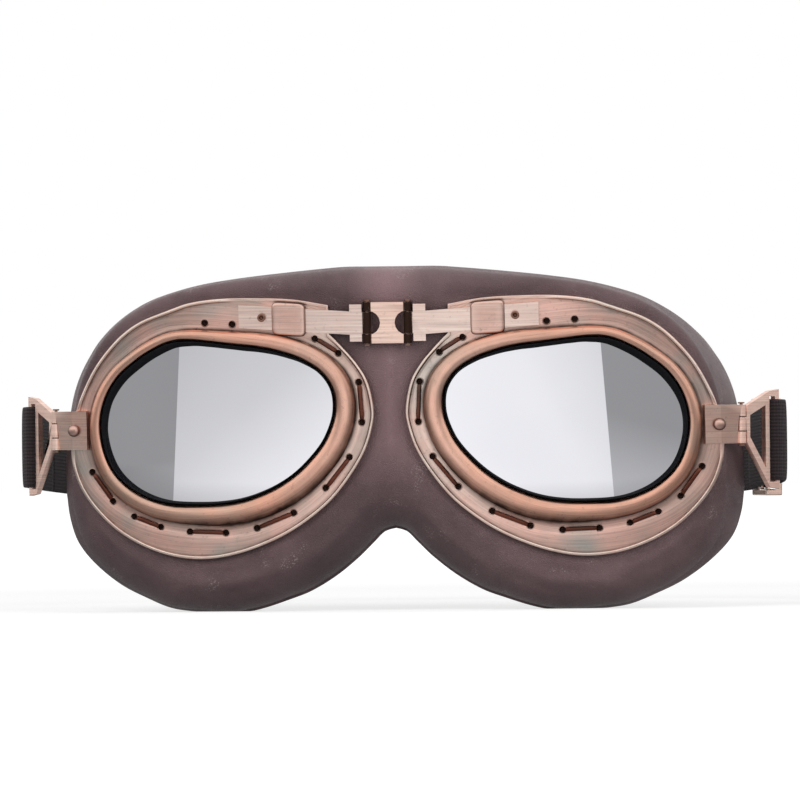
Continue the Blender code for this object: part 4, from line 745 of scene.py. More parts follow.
def make_plate(side):
    """Rows from under the rim out to the rolled edge and back underneath; the roll is a half circle."""
    inner = opening + out * PLATE_WALL
    reach = np.linalg.norm(plate_edge - inner, axis=1)
    roll_turn = np.linspace(0.0, math.pi, 9)
    rolled = reach - ROLL_WIDTH * (0.5 + 0.5 * np.cos(roll_turn))[:, None]
    inside = np.linspace(0.0, 1.0, 22)[:-1, None] * (reach - ROLL_WIDTH)
    across = np.vstack([inside, rolled])
    flat = inner + unit(plate_edge - inner) * across[..., None]
    foot = np.maximum(across - (rim_width - PLATE_WALL), 0.0)
    left = reach - across
    channel = -CHANNEL_DEPTH * bell(foot, CHANNEL_MIDDLE, CHANNEL_WIDTH) * smoothstep(0.0, 0.0012, left)
    u, z = flat[..., 0], flat[..., 1]
    under_arm = (np.abs(z - arm_z(u)) < ARM_HALF) & (u < ARM_END_U)
    under_side = (np.abs(z - SIDE_PLATE_Z) < SIDE_HALF) & (u > SIDE_START_U)
    free_edge = evened(1.0 - 0.75 * (under_arm | under_side).any(axis=0), 9)
    roll = np.zeros_like(across)
    roll[len(inside):] = np.sin(roll_turn)[:, None] * ROLL_RISE * free_edge
    roll[-1] = -PLATE_WALL / 2
    lower = np.full((2, len(opening)), -PLATE_WALL)
    points = np.vstack([lay(side, flat, channel + roll), lay(side, flat[[-1, 0]], lower)])
    # The rolled edge is rubbed bright; the nose side is made brighter too, a painted highlight.
    nose_side = smoothstep(0.70, 1.0, facing(180.0))
    edge = np.maximum(bell(left, ROLL_WIDTH * 0.5, 0.0005) * free_edge, 0.5 * nose_side)
    groove = bell(left, ROLL_WIDTH * 1.15, 0.00028) * free_edge
    # Darker at the rim's foot, patina with a painted shade where the rim stands on the plate, and in the
    # groove inside the roll.
    recess_and_shade = 0.95 * bell(foot, 0.0, 0.0008) + 0.75 * groove
    pad, name = ((0, 2), (0, 0)), side_name(side)
    piece = add_surface("fine_frame_" + name, points, name + "_eye", plate_copper,
                        values={"brushing": brushing(np.pad(across, pad)), "wear_and_highlight": np.pad(edge, pad),
                                "recess_and_shade": np.pad(recess_and_shade, pad)})
    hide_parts("frame_" + name)
    return piece


def cut_holes(side, piece, spots):
    """Drills are round columns through the plate at each spot, cut away together with a Boolean."""
    flat = np.repeat(spots[:, None, None] + round_ring(14)[None, None] * HOLE_RADIUS, 2, axis=1)
    rise = np.array([0.002, -0.002])[None, :, None]
    drill = add_surface("drill", lay(side, flat, rise), None, plate_copper, closed=False,
                        caps=True)
    change = piece.modifiers.new("holes", "BOOLEAN")
    change.operation, change.object, change.solver = "DIFFERENCE", drill, "EXACT"
    settle(piece, 40.0)
    bpy.data.objects.remove(drill)


for side in (-1, 1):
    plate = make_plate(side)
    before = len(plate.data.vertices)
    cut_holes(side, plate, holes)
    print(plate.name, before, "points before the holes and", len(plate.data.vertices), "after")

# %% [markdown]
# ## Lacing
# Flat reddish staples hold the leather to the plate through every second pair of holes. Each is a ribbon
# of wire that comes out of the near side of one hole, lies in the channel and dips into the next, so that
# the holes still show. All the staples of an eye are one piece, because they are the same grid repeated,
# and so are the holes' pressed edges, each a thin ring round a pit whose floor is painted near black as
# the shade inside the hole.

# %% Lacing staples
LACE_RISE, LACE_WIDE, LACE_THICK, LACE_INSET = 0.00066, 0.00062, 0.00022, 0.00045
LACE_BED = -CHANNEL_DEPTH * 0.8
hole_profile = np.array([  # share of the hole's radius, rise
    (1.45, -0.00010), (1.38, 0.00006), (1.20, 0.00012), (1.02, 0.00004), (0.96, -0.00020), (0.94, -0.00080),
    (0.50, -0.00085), (0.03, -0.00085), (0.03, -0.00090), (0.99, -0.00090), (0.99, -0.00020),
    (1.40, -0.00014)])


def make_laces(side):
    """Path between two holes with rise one minus the eighth power of the distance from its middle."""
    s = np.linspace(-1.0, 1.0, 25)
    run = holes[3::2] - holes[2::2]
    length = np.linalg.norm(run, axis=1)
    inset = run / length[:, None] * LACE_INSET
    a, b = holes[2::2] + inset, holes[3::2] - inset
    run = b - a
    beside = np.column_stack([-run[:, 1], run[:, 0]]) / length[:, None]
    wide = powered(np.cos(full_turn(10)), 0.7) * LACE_WIDE
    thick = powered(np.sin(full_turn(10)), 0.7) * LACE_THICK
    middle = (a + b)[:, None] / 2 + run[:, None] * s[None, :, None] / 2
    flat = middle[:, :, None] + beside[:, None, None] * wide[None, None, :, None]
    rise = (LACE_RISE * (1 - np.abs(s) ** 8) * 1.55 - LACE_RISE * 1.1)[None, :, None] + thick
    name = side_name(side)
    piece = add_surface("fine_laces_" + name, lay(side, flat, rise), name + "_eye",
                        lace_copper, closed=False, caps=True)
    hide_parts(*(f"lace_{name}_{k}" for k in range(1, len(a) + 1)))


def make_hole_edges(side):
    """A closed profile turned round every hole: a low ring, a throat and a floor painted dark as the hole's
    shade.
    """
    flat = holes[:, None, None] + round_ring(16) * HOLE_RADIUS * hole_profile[:, :1, None]
    rise = (hole_profile[:, 1] + LACE_BED)[None, :, None] * np.ones(16)
    # Throat and floor are made near black, a painted shade inside the hole; the ring is a little rubbed.
    inside = smoothstep(-1.1, -0.98, -hole_profile[:, 0])[:, None]
    add_surface("fine_hole_edges_" + side_name(side), lay(side, flat, rise), side_name(side) + "_eye",
                plate_copper,
                values={"brushing": np.zeros((1, len(hole_profile), 16, 3)),
                        "wear_and_highlight": 0.25 * (1 - inside), "recess_and_shade": inside * 2.5 + 0.35})


for side in (-1, 1):
    make_laces(side)
    make_hole_edges(side)
print("staples each side", len(holes[2::2]), "holes", len(holes))

# %% [markdown]
# ## Lens and its seal
# The lens is one sheet of mirrored plastic, folded once so that both parts stay flat: two flat faces of
# many corners that meet at the fold, and the same behind. A black rubber seal lines the inside of the
# rim. It stands square to the sloping front, so its wall leans in towards the outer top corner and shows
# there as a dark band, while elsewhere it is only a thin dark line.

# %% Mirror and rubber finishes
mirror_film, tree, shader = new_material("mirrored lens", Metallic=1.0, Roughness=0.03, Coat_Weight=0.35,
                                         Coat_Roughness=0.02)
haze = remapped(tree, noise(tree, place_of(tree), 30.0), 0.3, 0.7)
feed(tree, shader, {"Base Color": mixed(tree, haze, (0.85, 0.85, 0.89), (0.89, 0.89, 0.925))})
seal_rubber, tree, shader = new_material("seal rubber", Roughness=0.70, Specular_IOR_Level=0.06)
grit = noise(tree, place_of(tree), 1500.0, 3.0)
feed(tree, shader, {"Base Color": mixed(tree, grit, (0.004, 0.004, 0.005), (0.016, 0.017, 0.020))})
emboss(tree, shader, grit, 0.3, 0.0001)
print("finishes", mirror_film.name, seal_rubber.name)

# %% Lens and seal
LENS_DEPTH, LENS_WALL, LENS_TUCK = -0.0014, 0.0016, 0.00025
SEAL_LIP, SEAL_LEAN, SEAL_TOP, LEAN_ANGLE = 0.0003, 0.0018, 0.0033, math.radians(48.0)
lean = out @ np.array([math.cos(LEAN_ANGLE), math.sin(LEAN_ANGLE)])
lens_inset = SEAL_LIP + SEAL_LEAN * np.maximum(lean, 0.0) ** 2
seal_profile = np.array([  # step inwards, share of the lens's inset, depth
    [0.0001, 0.0, -SEAL_TOP + 0.0002], [0.0002, 0.0, -SEAL_TOP], [0.0003, 0.15, -SEAL_TOP + 0.0003],
    [0.0002, 0.50, -0.0027], [0.0, 0.85, -0.0020], [0.0, 1.0, -0.0017], [0.0001, 1.0, -0.00146],
    [-0.0003, 1.0, -0.00146], [-0.0003, 1.0, 0.00026], [0.0, 1.0, 0.0003], [-0.0002, 1.0, 0.0033],
    [0.0002, 0.0, 0.0035], [-0.0003, 0.0, 0.0032], [-0.0003, 0.0, 0.0002], [0.0001, 0.0, -0.0003]])


def make_seal(side):
    """Each profile point is a step and a share of the inset inwards, and a depth behind the front."""
    inwards = seal_profile[:, :1] + seal_profile[:, 1:2] * lens_inset
    depth = seal_profile[:, 2:] * np.ones(len(opening))
    name = side_name(side)
    piece = add_surface("fine_gasket_" + name, lay(side, opening - out * inwards[..., None], -depth, 0.0),
                        name + "_eye", seal_rubber)
    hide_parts("gasket_" + name)


def make_lens(side):
    """The outline with the fold's two ends added is one loop, which the fold cuts into two flat faces."""
    line = opening - out * (lens_inset - LENS_TUCK)[:, None]
    over, after = past_crease(line), np.roll(past_crease(line), -1)
    crossings = np.flatnonzero((over > 0) != (after > 0))
    share = (over / (over - after))[crossings, None]
    ends = line[crossings] + (np.roll(line, -1, axis=0)[crossings] - line[crossings]) * share
    line = np.insert(line, crossings + 1, ends, axis=0)
    first, second = int(crossings[0]) + 1, int(crossings[1]) + 2
    count = len(line)
    loop = np.arange(count)
    parts = [loop[first:second + 1], np.concatenate([loop[second:], loop[:first + 1]])]
    walls = np.column_stack([loop, loop + count, np.roll(loop, -1) + count, np.roll(loop, -1)])
    faces = [part.tolist() for part in parts] + [(part + count)[::-1].tolist() for part in parts]
    faces += walls.tolist()
    faces = faces if side > 0 else [face[::-1] for face in faces]
    depth = np.repeat([LENS_DEPTH, LENS_DEPTH + LENS_WALL], count)
    name = side_name(side)
    mesh = bpy.data.meshes.new("fine_lens_" + name)
    mesh.from_pydata(lay(side, np.vstack([line, line]), -depth, 0.0).tolist(), [], faces)
    piece = add_mesh(mesh, name + "_eye", mirror_film, sharp=5.0)
    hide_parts("lens_" + name)


def refinish(node, finish):
    """Gives a solid that is kept a finish in place of its own."""
    materials = frame["nodes"][node].data.materials
    materials.clear()
    materials.append(finish)


for side in (-1, 1):
    make_seal(side)
    make_lens(side)
    refinish("retainer_" + side_name(side), pin_copper)
print("seal leans in by", (lens_inset.max() * 1000).round(1), "mm at most")

# %% [markdown]
# ## Leather cover
# The mask is soft leather over foam. It lies flat under the copper plate, swells a little as it comes out
# from under it, rolls over a rounded edge and runs back to the face side. The two halves meet in the
# middle of the nose. The front is a height field: at each point the leather drops as a quarter circle of
# the distance to the mask's outline, which also works in the corners where a simple sweep would fold.
# The shape is moved by formulas instead of a cloth simulation, so it stays the same at every run.

# %% Leather finish
LEATHER_LIGHT, LEATHER_DARK = np.array([0.162, 0.100, 0.105]), np.array([0.092, 0.054, 0.059])
GLINT_TONE, GLINT_SHARE, GRAIN_CELLS = (0.48, 0.38, 0.37), 0.5, 2100.0
# Where the nose ridge gets a painted highlight and the foot of the nose a painted shade: heights, and fades
# sideways from the middle. The ridge's heights also place its swell.
RIDGE_HEIGHTS, FOOT_SHADE_HEIGHTS = (0.034, 0.046), (0.036, 0.024)
RIDGE_HIGHLIGHT_FADE, FOOT_SHADE_FADE = (0.001, 0.011, 0.95, 0.0), (0.016, 0.034, 0.55, 0.0)


def leather_grain():
    """Cells of fine grain with creases between them, and a mask of small clustered dots that stand for
    glints.
    """
    group, start, end = new_group("leather grain", {"Vector": "Vector", "Cells": "Float"},
                                  {"Height": "Float", "Glint": "Float"})
    place = start["Vector"]
    bent = add_node(group, "TexNoise", {"Vector": place, "Scale": 300.0, "Detail": 2.0})
    pulled = add_node(group, "VectorMath", {0: bent.outputs["Color"], "Scale": 0.0012}, operation="SCALE")
    shaken = add_node(group, "VectorMath", {0: place, 1: pulled.outputs[0]}, operation="ADD")
    cells = add_node(group, "TexVoronoi", {"Vector": shaken.outputs[0], "Scale": start["Cells"]},
                     feature="DISTANCE_TO_EDGE").outputs["Distance"]
    creases = product(group, remapped(group, cells, 0.0, 0.22), 0.5)
    cluster = remapped(group, noise(group, place, 110.0), 0.62, 0.70)
    dots = remapped(group, noise(group, place, 2600.0, 1.0), 0.58, 0.66)
    feed(group, end, {"Height": arithmetic(group, "ADD", creases, noise(group, place, 160.0, 4.0, 0.6)),
                      "Glint": product(group, cluster, dots)})
    return group


mauve_leather, tree, shader = new_material("mauve leather", Coat_Weight=0.10, Coat_Roughness=0.35)
place = place_of(tree)
grain = grouped(tree, leather_grain(), Vector=place, Cells=GRAIN_CELLS)
slow = remapped(tree, noise(tree, place, 38.0, 3.0, 0.55), 0.34, 0.66)
creased = mixed(tree, remapped(tree, grain["Height"], 0.35, 0.85, 0.35, 0.0),
                mixed(tree, slow, LEATHER_DARK, LEATHER_LIGHT), LEATHER_DARK * [0.55, 0.5, 0.5])
# The glint mask lightens the base colour towards the glint tone, a painted highlight, and makes the leather
# a little less rough there.
glints = product(tree, grain["Glint"], GLINT_SHARE)
apart = parts_of(tree, place)
off = arithmetic(tree, "ABSOLUTE", apart["X"])
# The nose ridge is lightened, a painted highlight, and the lower nose darkened, a painted shade; the colour
# mixed from them below holds both, not real rubbing.
painted_ridge_highlight, painted_foot_shade = (
    product(tree, remapped(tree, off, *fade), remapped(tree, apart["Z"], *heights))
    for fade, heights in ((RIDGE_HIGHLIGHT_FADE, RIDGE_HEIGHTS), (FOOT_SHADE_FADE, FOOT_SHADE_HEIGHTS)))
worn = mixed(tree, painted_foot_shade, mixed(tree, painted_ridge_highlight, creased, LEATHER_LIGHT * 1.6), LEATHER_DARK * 0.7)
rough = arithmetic(tree, "SUBTRACT", remapped(tree, grain["Height"], 0.4, 1.0, 0.62, 0.46),
                   product(tree, glints, 0.25))
feed(tree, shader, {"Base Color": mixed(tree, glints, worn, GLINT_TONE), "Roughness": rough})
emboss(tree, shader, grain["Height"], 0.7, 0.00028)
print("leather ready")

# %% Sizes and formulas of the leather
EYE_MARGIN, SKIN, NOSE_RECESS, NOSE_SWELL = 0.0036, 0.0012, 0.0008, 0.0014
NOSE_WIDTH, RIDGE_WIDTH, ARM_REST, PUFF_REACH, WAVE, FOLD = 0.010, 0.0024, 0.0085, 0.0045, 0.00025, 0.00030
ROLL, LEAST_ROLL, REAR_ROLL, FLARE, LEATHER_WALL = 0.0095, 0.0026, 0.0024, 0.0035, 0.00084
NOSE_DEPTH, SIDE_DEPTH, PUFF, BULGE = 0.02222, 0.0500, 0.0026, 0.0007
TUCK_IN, TUCK_DEPTH, LINING_INSET = 0.0046, 0.0012, 0.00186
BLEND_REACH, NO_LENGTH = 0.0112, 0.000001


def rear_y(flat):
    """Depth of the face side: a parabola from the nose back to the temples."""
    return NOSE_DEPTH + (SIDE_DEPTH - NOSE_DEPTH) * (flat[..., 0] / MASK_SIZE[0]) ** 2 - DEPTH_SHIFT


def distance_to(line, points):
    """Least distance from each point to a line's spans, and the place along the line where it is met."""
    a, run = line[:-1], np.diff(line, axis=0)
    square = (run ** 2).sum(axis=1)
    nearest, place = [], []
    for row in points:
        away = row[:, None] - a[None]
        share = np.clip((away * run).sum(axis=2) / square, 0.0, 1.0)
        gap = np.linalg.norm(away - share[..., None] * run, axis=2)
        best = gap.argmin(axis=1)
        nearest.append(gap[np.arange(len(row)), best])
        place.append(best + share[np.arange(len(row)), best])
    return np.array(nearest), np.array(place)


def quarter_drop(distance, radius):
    """How far a quarter circle has dropped at a distance inside its outer edge."""
    d = np.clip(distance, 0.0, radius)
    return radius - np.sqrt(np.maximum(2 * radius * d - d ** 2, 0.0))


print("face side lies", round((SIDE_DEPTH - NOSE_DEPTH) * 1000, 1), "mm further back at the temples")

# %% Where the leather starts, rolls and ends
eye_hole = opening + out * EYE_MARGIN
span = np.linalg.norm(mask_edge - eye_hole, axis=1)
ray = unit(mask_edge - eye_hole)
upwards = [smoothstep(0.0, width, mask_edge[:, 0]) for width in (0.010, 0.008)]
roll_way = unit(ray * np.column_stack([upwards[0], np.ones(len(ray))]), NO_LENGTH)
flare = np.clip((mask_edge[:, 0] - EYE_CENTRE[0]) / (MASK_SIZE[0] - EYE_CENTRE[0]), 0.0, 1.0) ** 2 * FLARE
front_edge = mask_edge - np.column_stack([flare, 0 * flare])
first_free = int(np.argmax(~inside_nose & np.roll(inside_nose, 1)))
free_order = np.roll(np.arange(len(ray_angles)), -first_free)[:int((~inside_nose).sum())]
room = np.clip(np.linalg.norm(front_edge - plate_edge, axis=1) * 1.25, LEAST_ROLL, ROLL)
room = evened(np.where(front_edge[:, 0] < 0.02, ROLL, room), 25)
free_line, free_room = front_edge[free_order], room[free_order]
print("front edge rolls over", (room.min() * 1000).round(1), "to", (room.max() * 1000).round(1), "mm")


# %% Leather cover
def cover_front():
    """Rows from the eye hole to the edge: skin depth, plus the swell, less the drop of the rolled edge."""
    share = 1 - (1 - np.linspace(0.0, 1.0, 44)) ** 2
    flat = eye_hole + (front_edge - eye_hole) * share[:, None, None]
    u, z = flat[..., 0], flat[..., 1]
    gap, place = distance_to(free_line, flat)
    radius = np.interp(place, np.arange(len(free_room)), free_room)
    past = np.linalg.norm(flat - eye_hole, axis=2) - np.linalg.norm(plate_edge - eye_hole, axis=1)
    swell = PUFF * (1 - np.exp(-(np.maximum(past, 0.0) / PUFF_REACH) ** 1.5))
    near_bridge = bell(z, BRIDGE_Z, ARM_REST) * (1 - smoothstep(0.016, 0.026, u))
    middle = 1 - smoothstep(0.0, NOSE_WIDTH, u)
    wave = WAVE * np.sin(u * 310 + 1.7) * np.sin(z * 270 + 0.6)
    wave = wave * smoothstep(0.0, 0.012, u) * smoothstep(0.0, 0.003, past)
    ridge = NOSE_SWELL * bell(u, 0.0, RIDGE_WIDTH) * smoothstep(*RIDGE_HEIGHTS, z)
    low = (1 - smoothstep(0.018, 0.034, z)) * smoothstep(0.002, 0.006, gap) * smoothstep(0.0, 0.004, past)
    folds = FOLD * np.sin(gap * 980 + u * 75) * np.sin(u * 95 + 0.4) * low
    rise = (swell + wave + folds) * (1 - 0.8 * middle) + ridge
    rise = -SKIN + rise * (1 - near_bridge) - NOSE_RECESS * middle
    return flat, rise - quarter_drop(gap, radius)


def make_cover(side):
    """The front, then the wall back to the face side, then a rolled rear edge tucked in at the end."""
    front = lay(side, *cover_front())
    share = np.linspace(0.0, 1.0, 12)[1:, None]
    out_edge = outward(mask_edge)
    out_edge[:, 0] *= upwards[1]
    out_edge = unit(out_edge, NO_LENGTH)
    bulge = BULGE * np.sin(math.pi * share) * ~inside_nose
    wall = front_edge + (mask_edge - front_edge) * share[..., None] + out_edge * bulge[..., None]
    start, end = front[-1, :, 1], rear_y(mask_edge) - REAR_ROLL
    turn = np.linspace(0.0, math.pi / 2, 8)[1:, None]
    rear = mask_edge - roll_way * (REAR_ROLL * (1 - np.cos(turn)))[..., None]
    tuck = (mask_edge - roll_way * TUCK_IN)[None]
    points = np.vstack([front, stood(side, wall, start + (end - start) * share),
                        stood(side, rear, rear_y(rear) - REAR_ROLL * (1 - np.sin(turn))),
                        stood(side, tuck, rear_y(tuck) - TUCK_DEPTH)])
    keep = np.ones((len(points) - 1, len(ray_angles)), bool)
    keep[len(front) - 1:, inside_nose | np.roll(inside_nose, -1)] = False
    name = side_name(side)
    piece = add_surface("fine_mask_" + name, points, None, mauve_leather, closed=False,
                        keep=keep)
    wall_maker = piece.modifiers.new("leather wall", "SOLIDIFY")
    wall_maker.thickness, wall_maker.offset = LEATHER_WALL, -1.0
    settle(piece, 60.0)
    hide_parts("mask_" + name)
    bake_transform(piece)
    return piece


covers = [make_cover(side) for side in (-1, 1)]
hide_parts("nose_leather")
print("cover points", len(covers[0].data.vertices))

# %% [markdown]
# ## Foam and lining
# Behind the leather sits a ring of foam, which shows through the lens and from the face side as the wall
# of the eye's hollow. The face side is lined with short fleece, plump in the middle and pulled down at
# its sewn edges. Both are closed rings with rounded corners.

# %% Foam and fleece finishes
def fuzzy(name, light, dark, pile, sheen):
    """A cloth or foam finish: noise at the size of its pile for tone and height, and a soft sheen."""
    material, tree, shader = new_material(name, Roughness=0.95, Sheen_Weight=sheen, Sheen_Roughness=0.4,
                                          Sheen_Tint=(0.6, 0.5, 0.5))
    fine = noise(tree, place_of(tree), pile, 4.0, 0.7)
    slow = noise(tree, place_of(tree), pile / 14)
    share = product(tree, remapped(tree, fine, 0.3, 0.7), remapped(tree, slow, 0.2, 0.8, 0.6, 1.0))
    feed(tree, shader, {"Base Color": mixed(tree, share, dark, light)})
    emboss(tree, shader, fine, 0.8, 0.0005)
    return material


foam_cells = fuzzy("foam cells", (0.045, 0.040, 0.040), (0.012, 0.010, 0.010), 900.0, 0.0)
brown_fleece = fuzzy("brown fleece", (0.085, 0.062, 0.056), (0.020, 0.014, 0.013), 1300.0, 0.5)
print("finishes", foam_cells.name, brown_fleece.name)

# %% Foam and lining
FOAM_INSET, LINING_WALL, FOAM_SHARE, FOAM_MOST = 0.0015, 0.0015, 0.33, 0.006
HOLE_ROUND, SEAM_ROUND, ROUND_SHARE = 0.0026, 0.0022, 0.55
FOAM_FLOOR, FOAM_STEP, LINING_FLOOR, CORNER_POWER = 0.003, 0.0002, 0.0012, 0.5


def make_foam(side):
    """Section of a rounded rectangle: from the leather to the lining, and a third of the way out."""
    front = front_y(eye_hole) + SKIN + FOAM_INSET
    back = rear_y(eye_hole) - LINING_WALL - GAP
    square = [powered(f(full_turn(25)[:, None]), CORNER_POWER) for f in (np.cos, np.sin)]
    thick = np.minimum(span * FOAM_SHARE, FOAM_MOST)
    flat = eye_hole + ray * (thick * (0.5 - 0.5 * square[0]) + FOAM_STEP)[..., None]
    points = stood(side, flat, front + (back - front) * (0.5 + 0.5 * square[1]), FOAM_FLOOR)
    name = side_name(side)
    piece = add_surface("fine_foam_" + name, points, name + "_eye", foam_cells)
    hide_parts("foam_" + name)


def make_lining(side):
    """Outer face rounded down by quarter circles at the hole and at the sewn edge, and a flat back."""
    edge = mask_edge - roll_way * np.where(inside_nose, 0.0, LINING_INSET)[:, None]
    ends = edge[free_order][[0, -1], 1]
    edge[inside_nose, 1] = np.clip(edge[inside_nose, 1], ends.min(), ends.max())
    share = (0.5 - 0.5 * np.cos(math.pi * np.linspace(0.0, 1.0, 26)))[:, None, None]
    flat = eye_hole + (edge - eye_hole) * share
    gap = distance_to(edge[free_order], flat)[0]
    from_hole = np.linalg.norm(flat - eye_hole, axis=2)
    drop = (quarter_drop(gap, SEAM_ROUND) + quarter_drop(from_hole, HOLE_ROUND)) * ROUND_SHARE
    behind = flat[[-1, 12, 0]]
    points = stood(side, np.vstack([flat, behind]),
                   np.vstack([rear_y(flat) - drop, rear_y(behind) - LINING_WALL]), LINING_FLOOR)
    name = side_name(side)
    piece = add_surface("fine_lining_" + name, points, None, brown_fleece)
    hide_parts("lining_" + name)
    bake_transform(piece)


for side in (-1, 1):
    make_foam(side)
    make_lining(side)
print("foam and lining rings made")

# %% [markdown]
# ## Small metal
# The plates, arms, loops and slider are cut and bent from flat stock, which the solids already show. A
# copy of each solid is merged, and a narrow bevel rounds its edges. The bevel has its own, brighter
# finish, because on plated metal the edges are where the dark layer rubs away first.

# %% Copies of solids with worn edges
MERGE_REACH, FLAT_ANGLE, SMOOTH_ANGLE, BEVEL_ANGLE = 0.000002, 1.5, 35.0, 38.0


def add_fine_copy(node, finish, bevel, slot_start):
    """A merged copy of a solid in its place, whose bevelled edges take the second, worn finish."""
    mesh = frame["nodes"][node].data.copy()
    work = bmesh.new()
    work.from_mesh(mesh)
    bmesh.ops.remove_doubles(work, verts=work.verts, dist=MERGE_REACH)
    bmesh.ops.dissolve_limit(work, angle_limit=math.radians(FLAT_ANGLE), verts=work.verts, edges=work.edges)
    work.to_mesh(mesh)
    work.free()
    mesh.materials.clear()
    for material in (finish, edge_copper):
        mesh.materials.append(material)
    mesh.polygons.foreach_set("material_index", np.zeros(len(mesh.polygons), np.int32))
    mesh.shade_smooth()
    mesh.set_sharp_from_angle(angle=math.radians(SMOOTH_ANGLE))
    piece = bpy.data.objects.new("fine_" + node, mesh)
    bpy.context.scene.collection.objects.link(piece)
    rounding = piece.modifiers.new("worn edges", "BEVEL")
    rounding.width, rounding.segments, rounding.material = bevel, 2, 1
    rounding.limit_method, rounding.angle_limit = "ANGLE", math.radians(BEVEL_ANGLE)
    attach(piece, node_body[node])
    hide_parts(node)


fine_copies = [("bridge_plate", bridge_copper, 0.00025, "bridge"),
               ("strap_slider", lightened_side_copper, 0.0003, "loop")]
for name in ("left", "right"):
    fine_copies += [("arm_" + name, arm_copper, 0.00025, "bridge"),
                    ("side_plate_" + name, lightened_side_copper, 0.00022, "frame"),
                    ("strap_loop_" + name, lightened_side_copper, 0.00028, "loop")]
    refinish("bridge_pin_" + name, pin_copper)
    refinish("loop_pin_" + name, pin_copper)
for values in fine_copies:
    add_fine_copy(*values)
print("fine copies", len(fine_copies))

# %% [markdown]
# ## Keepers and rivets
# A square keeper with rounded corners is pressed over each arm, a small ring rivet holds the arm's end,
# and a domed rivet holds each side plate. All of them are turned or pressed shapes: a profile of radius
# against rise, carried round a circle, or round a square with soft corners.

# %% Keepers and rivets
def pressed_stud(node, side, centre, size, profile, finish, squareness=2.0, tilt=0.0):
    """Outline with cosine and sine raised to two over squareness, scaled by the profile's radii."""
    ring = [powered(f(full_turn(64)), 2 / squareness) for f in (np.cos, np.sin)]
    profile = np.array(profile)
    u = ring[0] * size[0] * profile[:, :1]
    z = ring[1] * size[1] * profile[:, :1] + u * tilt
    flat = np.stack([centre[0] + u, centre[1] + z], axis=-1)
    rise = profile[:, 1:] * np.ones(64)
    top = profile[:, 1:].max()
    wear_and_highlight = bell(profile[:, 1:], top, 0.0003) * 0.2 * (profile[:, :1] > 0.6)
    # The sides below the top are darkened: patina, and a painted shade on the slopes down to the plate.
    recess_and_shade = 1 - smoothstep(top - 0.0007, top - 0.0001, profile[:, 1:])
    flow = np.stack([flat[..., 0], 0 * flat[..., 0], flat[..., 1]], axis=-1)
    node, name = node + side_name(side), side_name(side)
    piece = add_surface("fine_" + node, lay(side, flat, rise), name + "_eye", finish, closed=False,
                        caps=True, values={"wear_and_highlight": wear_and_highlight, "recess_and_shade": recess_and_shade * 0.9, "brushing": flow})
    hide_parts(node)


keeper_profile = [(0.97, GAP), (1.0, 0.0006), (1.0, 0.0014), (0.985, 0.0018), (0.955, 0.0021),
                  (0.90, 0.00225), (0.84, 0.0023), (0.7, 0.0023), (0.4, 0.0023), (0.05, 0.0023)]
ring_profile = [(1.0, 0.0013), (1.0, 0.0019), (0.92, 0.0021), (0.78, 0.00215), (0.6, 0.0021),
                (0.48, 0.0019), (0.42, 0.0013)]
dome = np.radians(np.linspace(0.0, 88.0, 10))
dome_profile = np.vstack([(1.0, 0.0012), np.column_stack([np.cos(dome), 0.0016 + 0.0012 * np.sin(dome)])])
KEEPER_U, RIVET_U, SIDE_RIVET_U = 0.0275, 0.03509, 0.08988
for side in (-1, 1):
    pressed_stud("keeper_", side, (KEEPER_U, arm_z(KEEPER_U)), (0.0047, 0.00455), keeper_profile,
                 keeper_copper, 7.0, ARM_TAN)
    pressed_stud("arm_rivet_", side, (RIVET_U, arm_z(RIVET_U)), (0.0011, 0.0011), ring_profile,
                 pin_copper)
    pressed_stud("side_rivet_", side, (SIDE_RIVET_U, SIDE_PLATE_Z), (0.0017, 0.0017), dome_profile,
                 keeper_copper)
print("keepers at", KEEPER_U, "rivets at", RIVET_U, SIDE_RIVET_U)

# %% [markdown]
# ## Elastic strap
# The head strap is one woven elastic band. Each end folds round the outer bar of its loop and comes back
# inside the band: sewn down on the left, and held by the slider on the right. The band is modelled
# directly as a rounded strip along a path, in parts that share a ring of points: an end part from the
# loop to the eye, a side part from the eye to the back, and the back.

# %% Elastic finish
RIB_PITCH, THREAD_PITCH = 0.00095, 0.0007


def woven_ribs():
    """Lengthwise ribs as a sine across the band, broken by the threads that cross it."""
    group, start, end = new_group("woven ribs", {"Vector": "Vector", "Ribs": "Float", "Threads": "Float"},
                                  {"Height": "Float", "Tone": "Float"})
    parts = parts_of(group, start["Vector"])
    ribs, threads = (remapped(group, arithmetic(group, "SINE", product(group, parts[axis], start[label])),
                              -1.0, 1.0) for axis, label in (("Y", "Ribs"), ("X", "Threads")))
    fluff = remapped(group, noise(group, start["Vector"], 2600.0), 0.3, 0.7, 0.5, 1.0)
    feed(group, end, {"Height": arithmetic(group, "ADD", ribs, product(group, threads, 0.45)),
                      "Tone": product(group, product(group, ribs, 0.8), fluff)})
    return group


elastic, tree, shader = new_material("brown elastic", Roughness=0.85, Sheen_Weight=0.06,
                                     Sheen_Roughness=0.5)
ribs = grouped(tree, woven_ribs(), Vector=own(tree, "weave", "Vector"), Ribs=2 * math.pi / RIB_PITCH,
               Threads=2 * math.pi / THREAD_PITCH)
feed(tree, shader, {"Base Color": mixed(tree, ribs["Tone"], (0.012, 0.007, 0.008), (0.046, 0.030, 0.034))})
emboss(tree, shader, ribs["Height"], 0.7, 0.00025)
thread, tree, shader = new_material("brown thread", Roughness=0.8, Sheen_Weight=0.3)
twist = noise(tree, place_of(tree), 1800.0)
feed(tree, shader, {"Base Color": mixed(tree, twist, (0.03, 0.014, 0.012), (0.12, 0.07, 0.06))})
print("elastic ready")

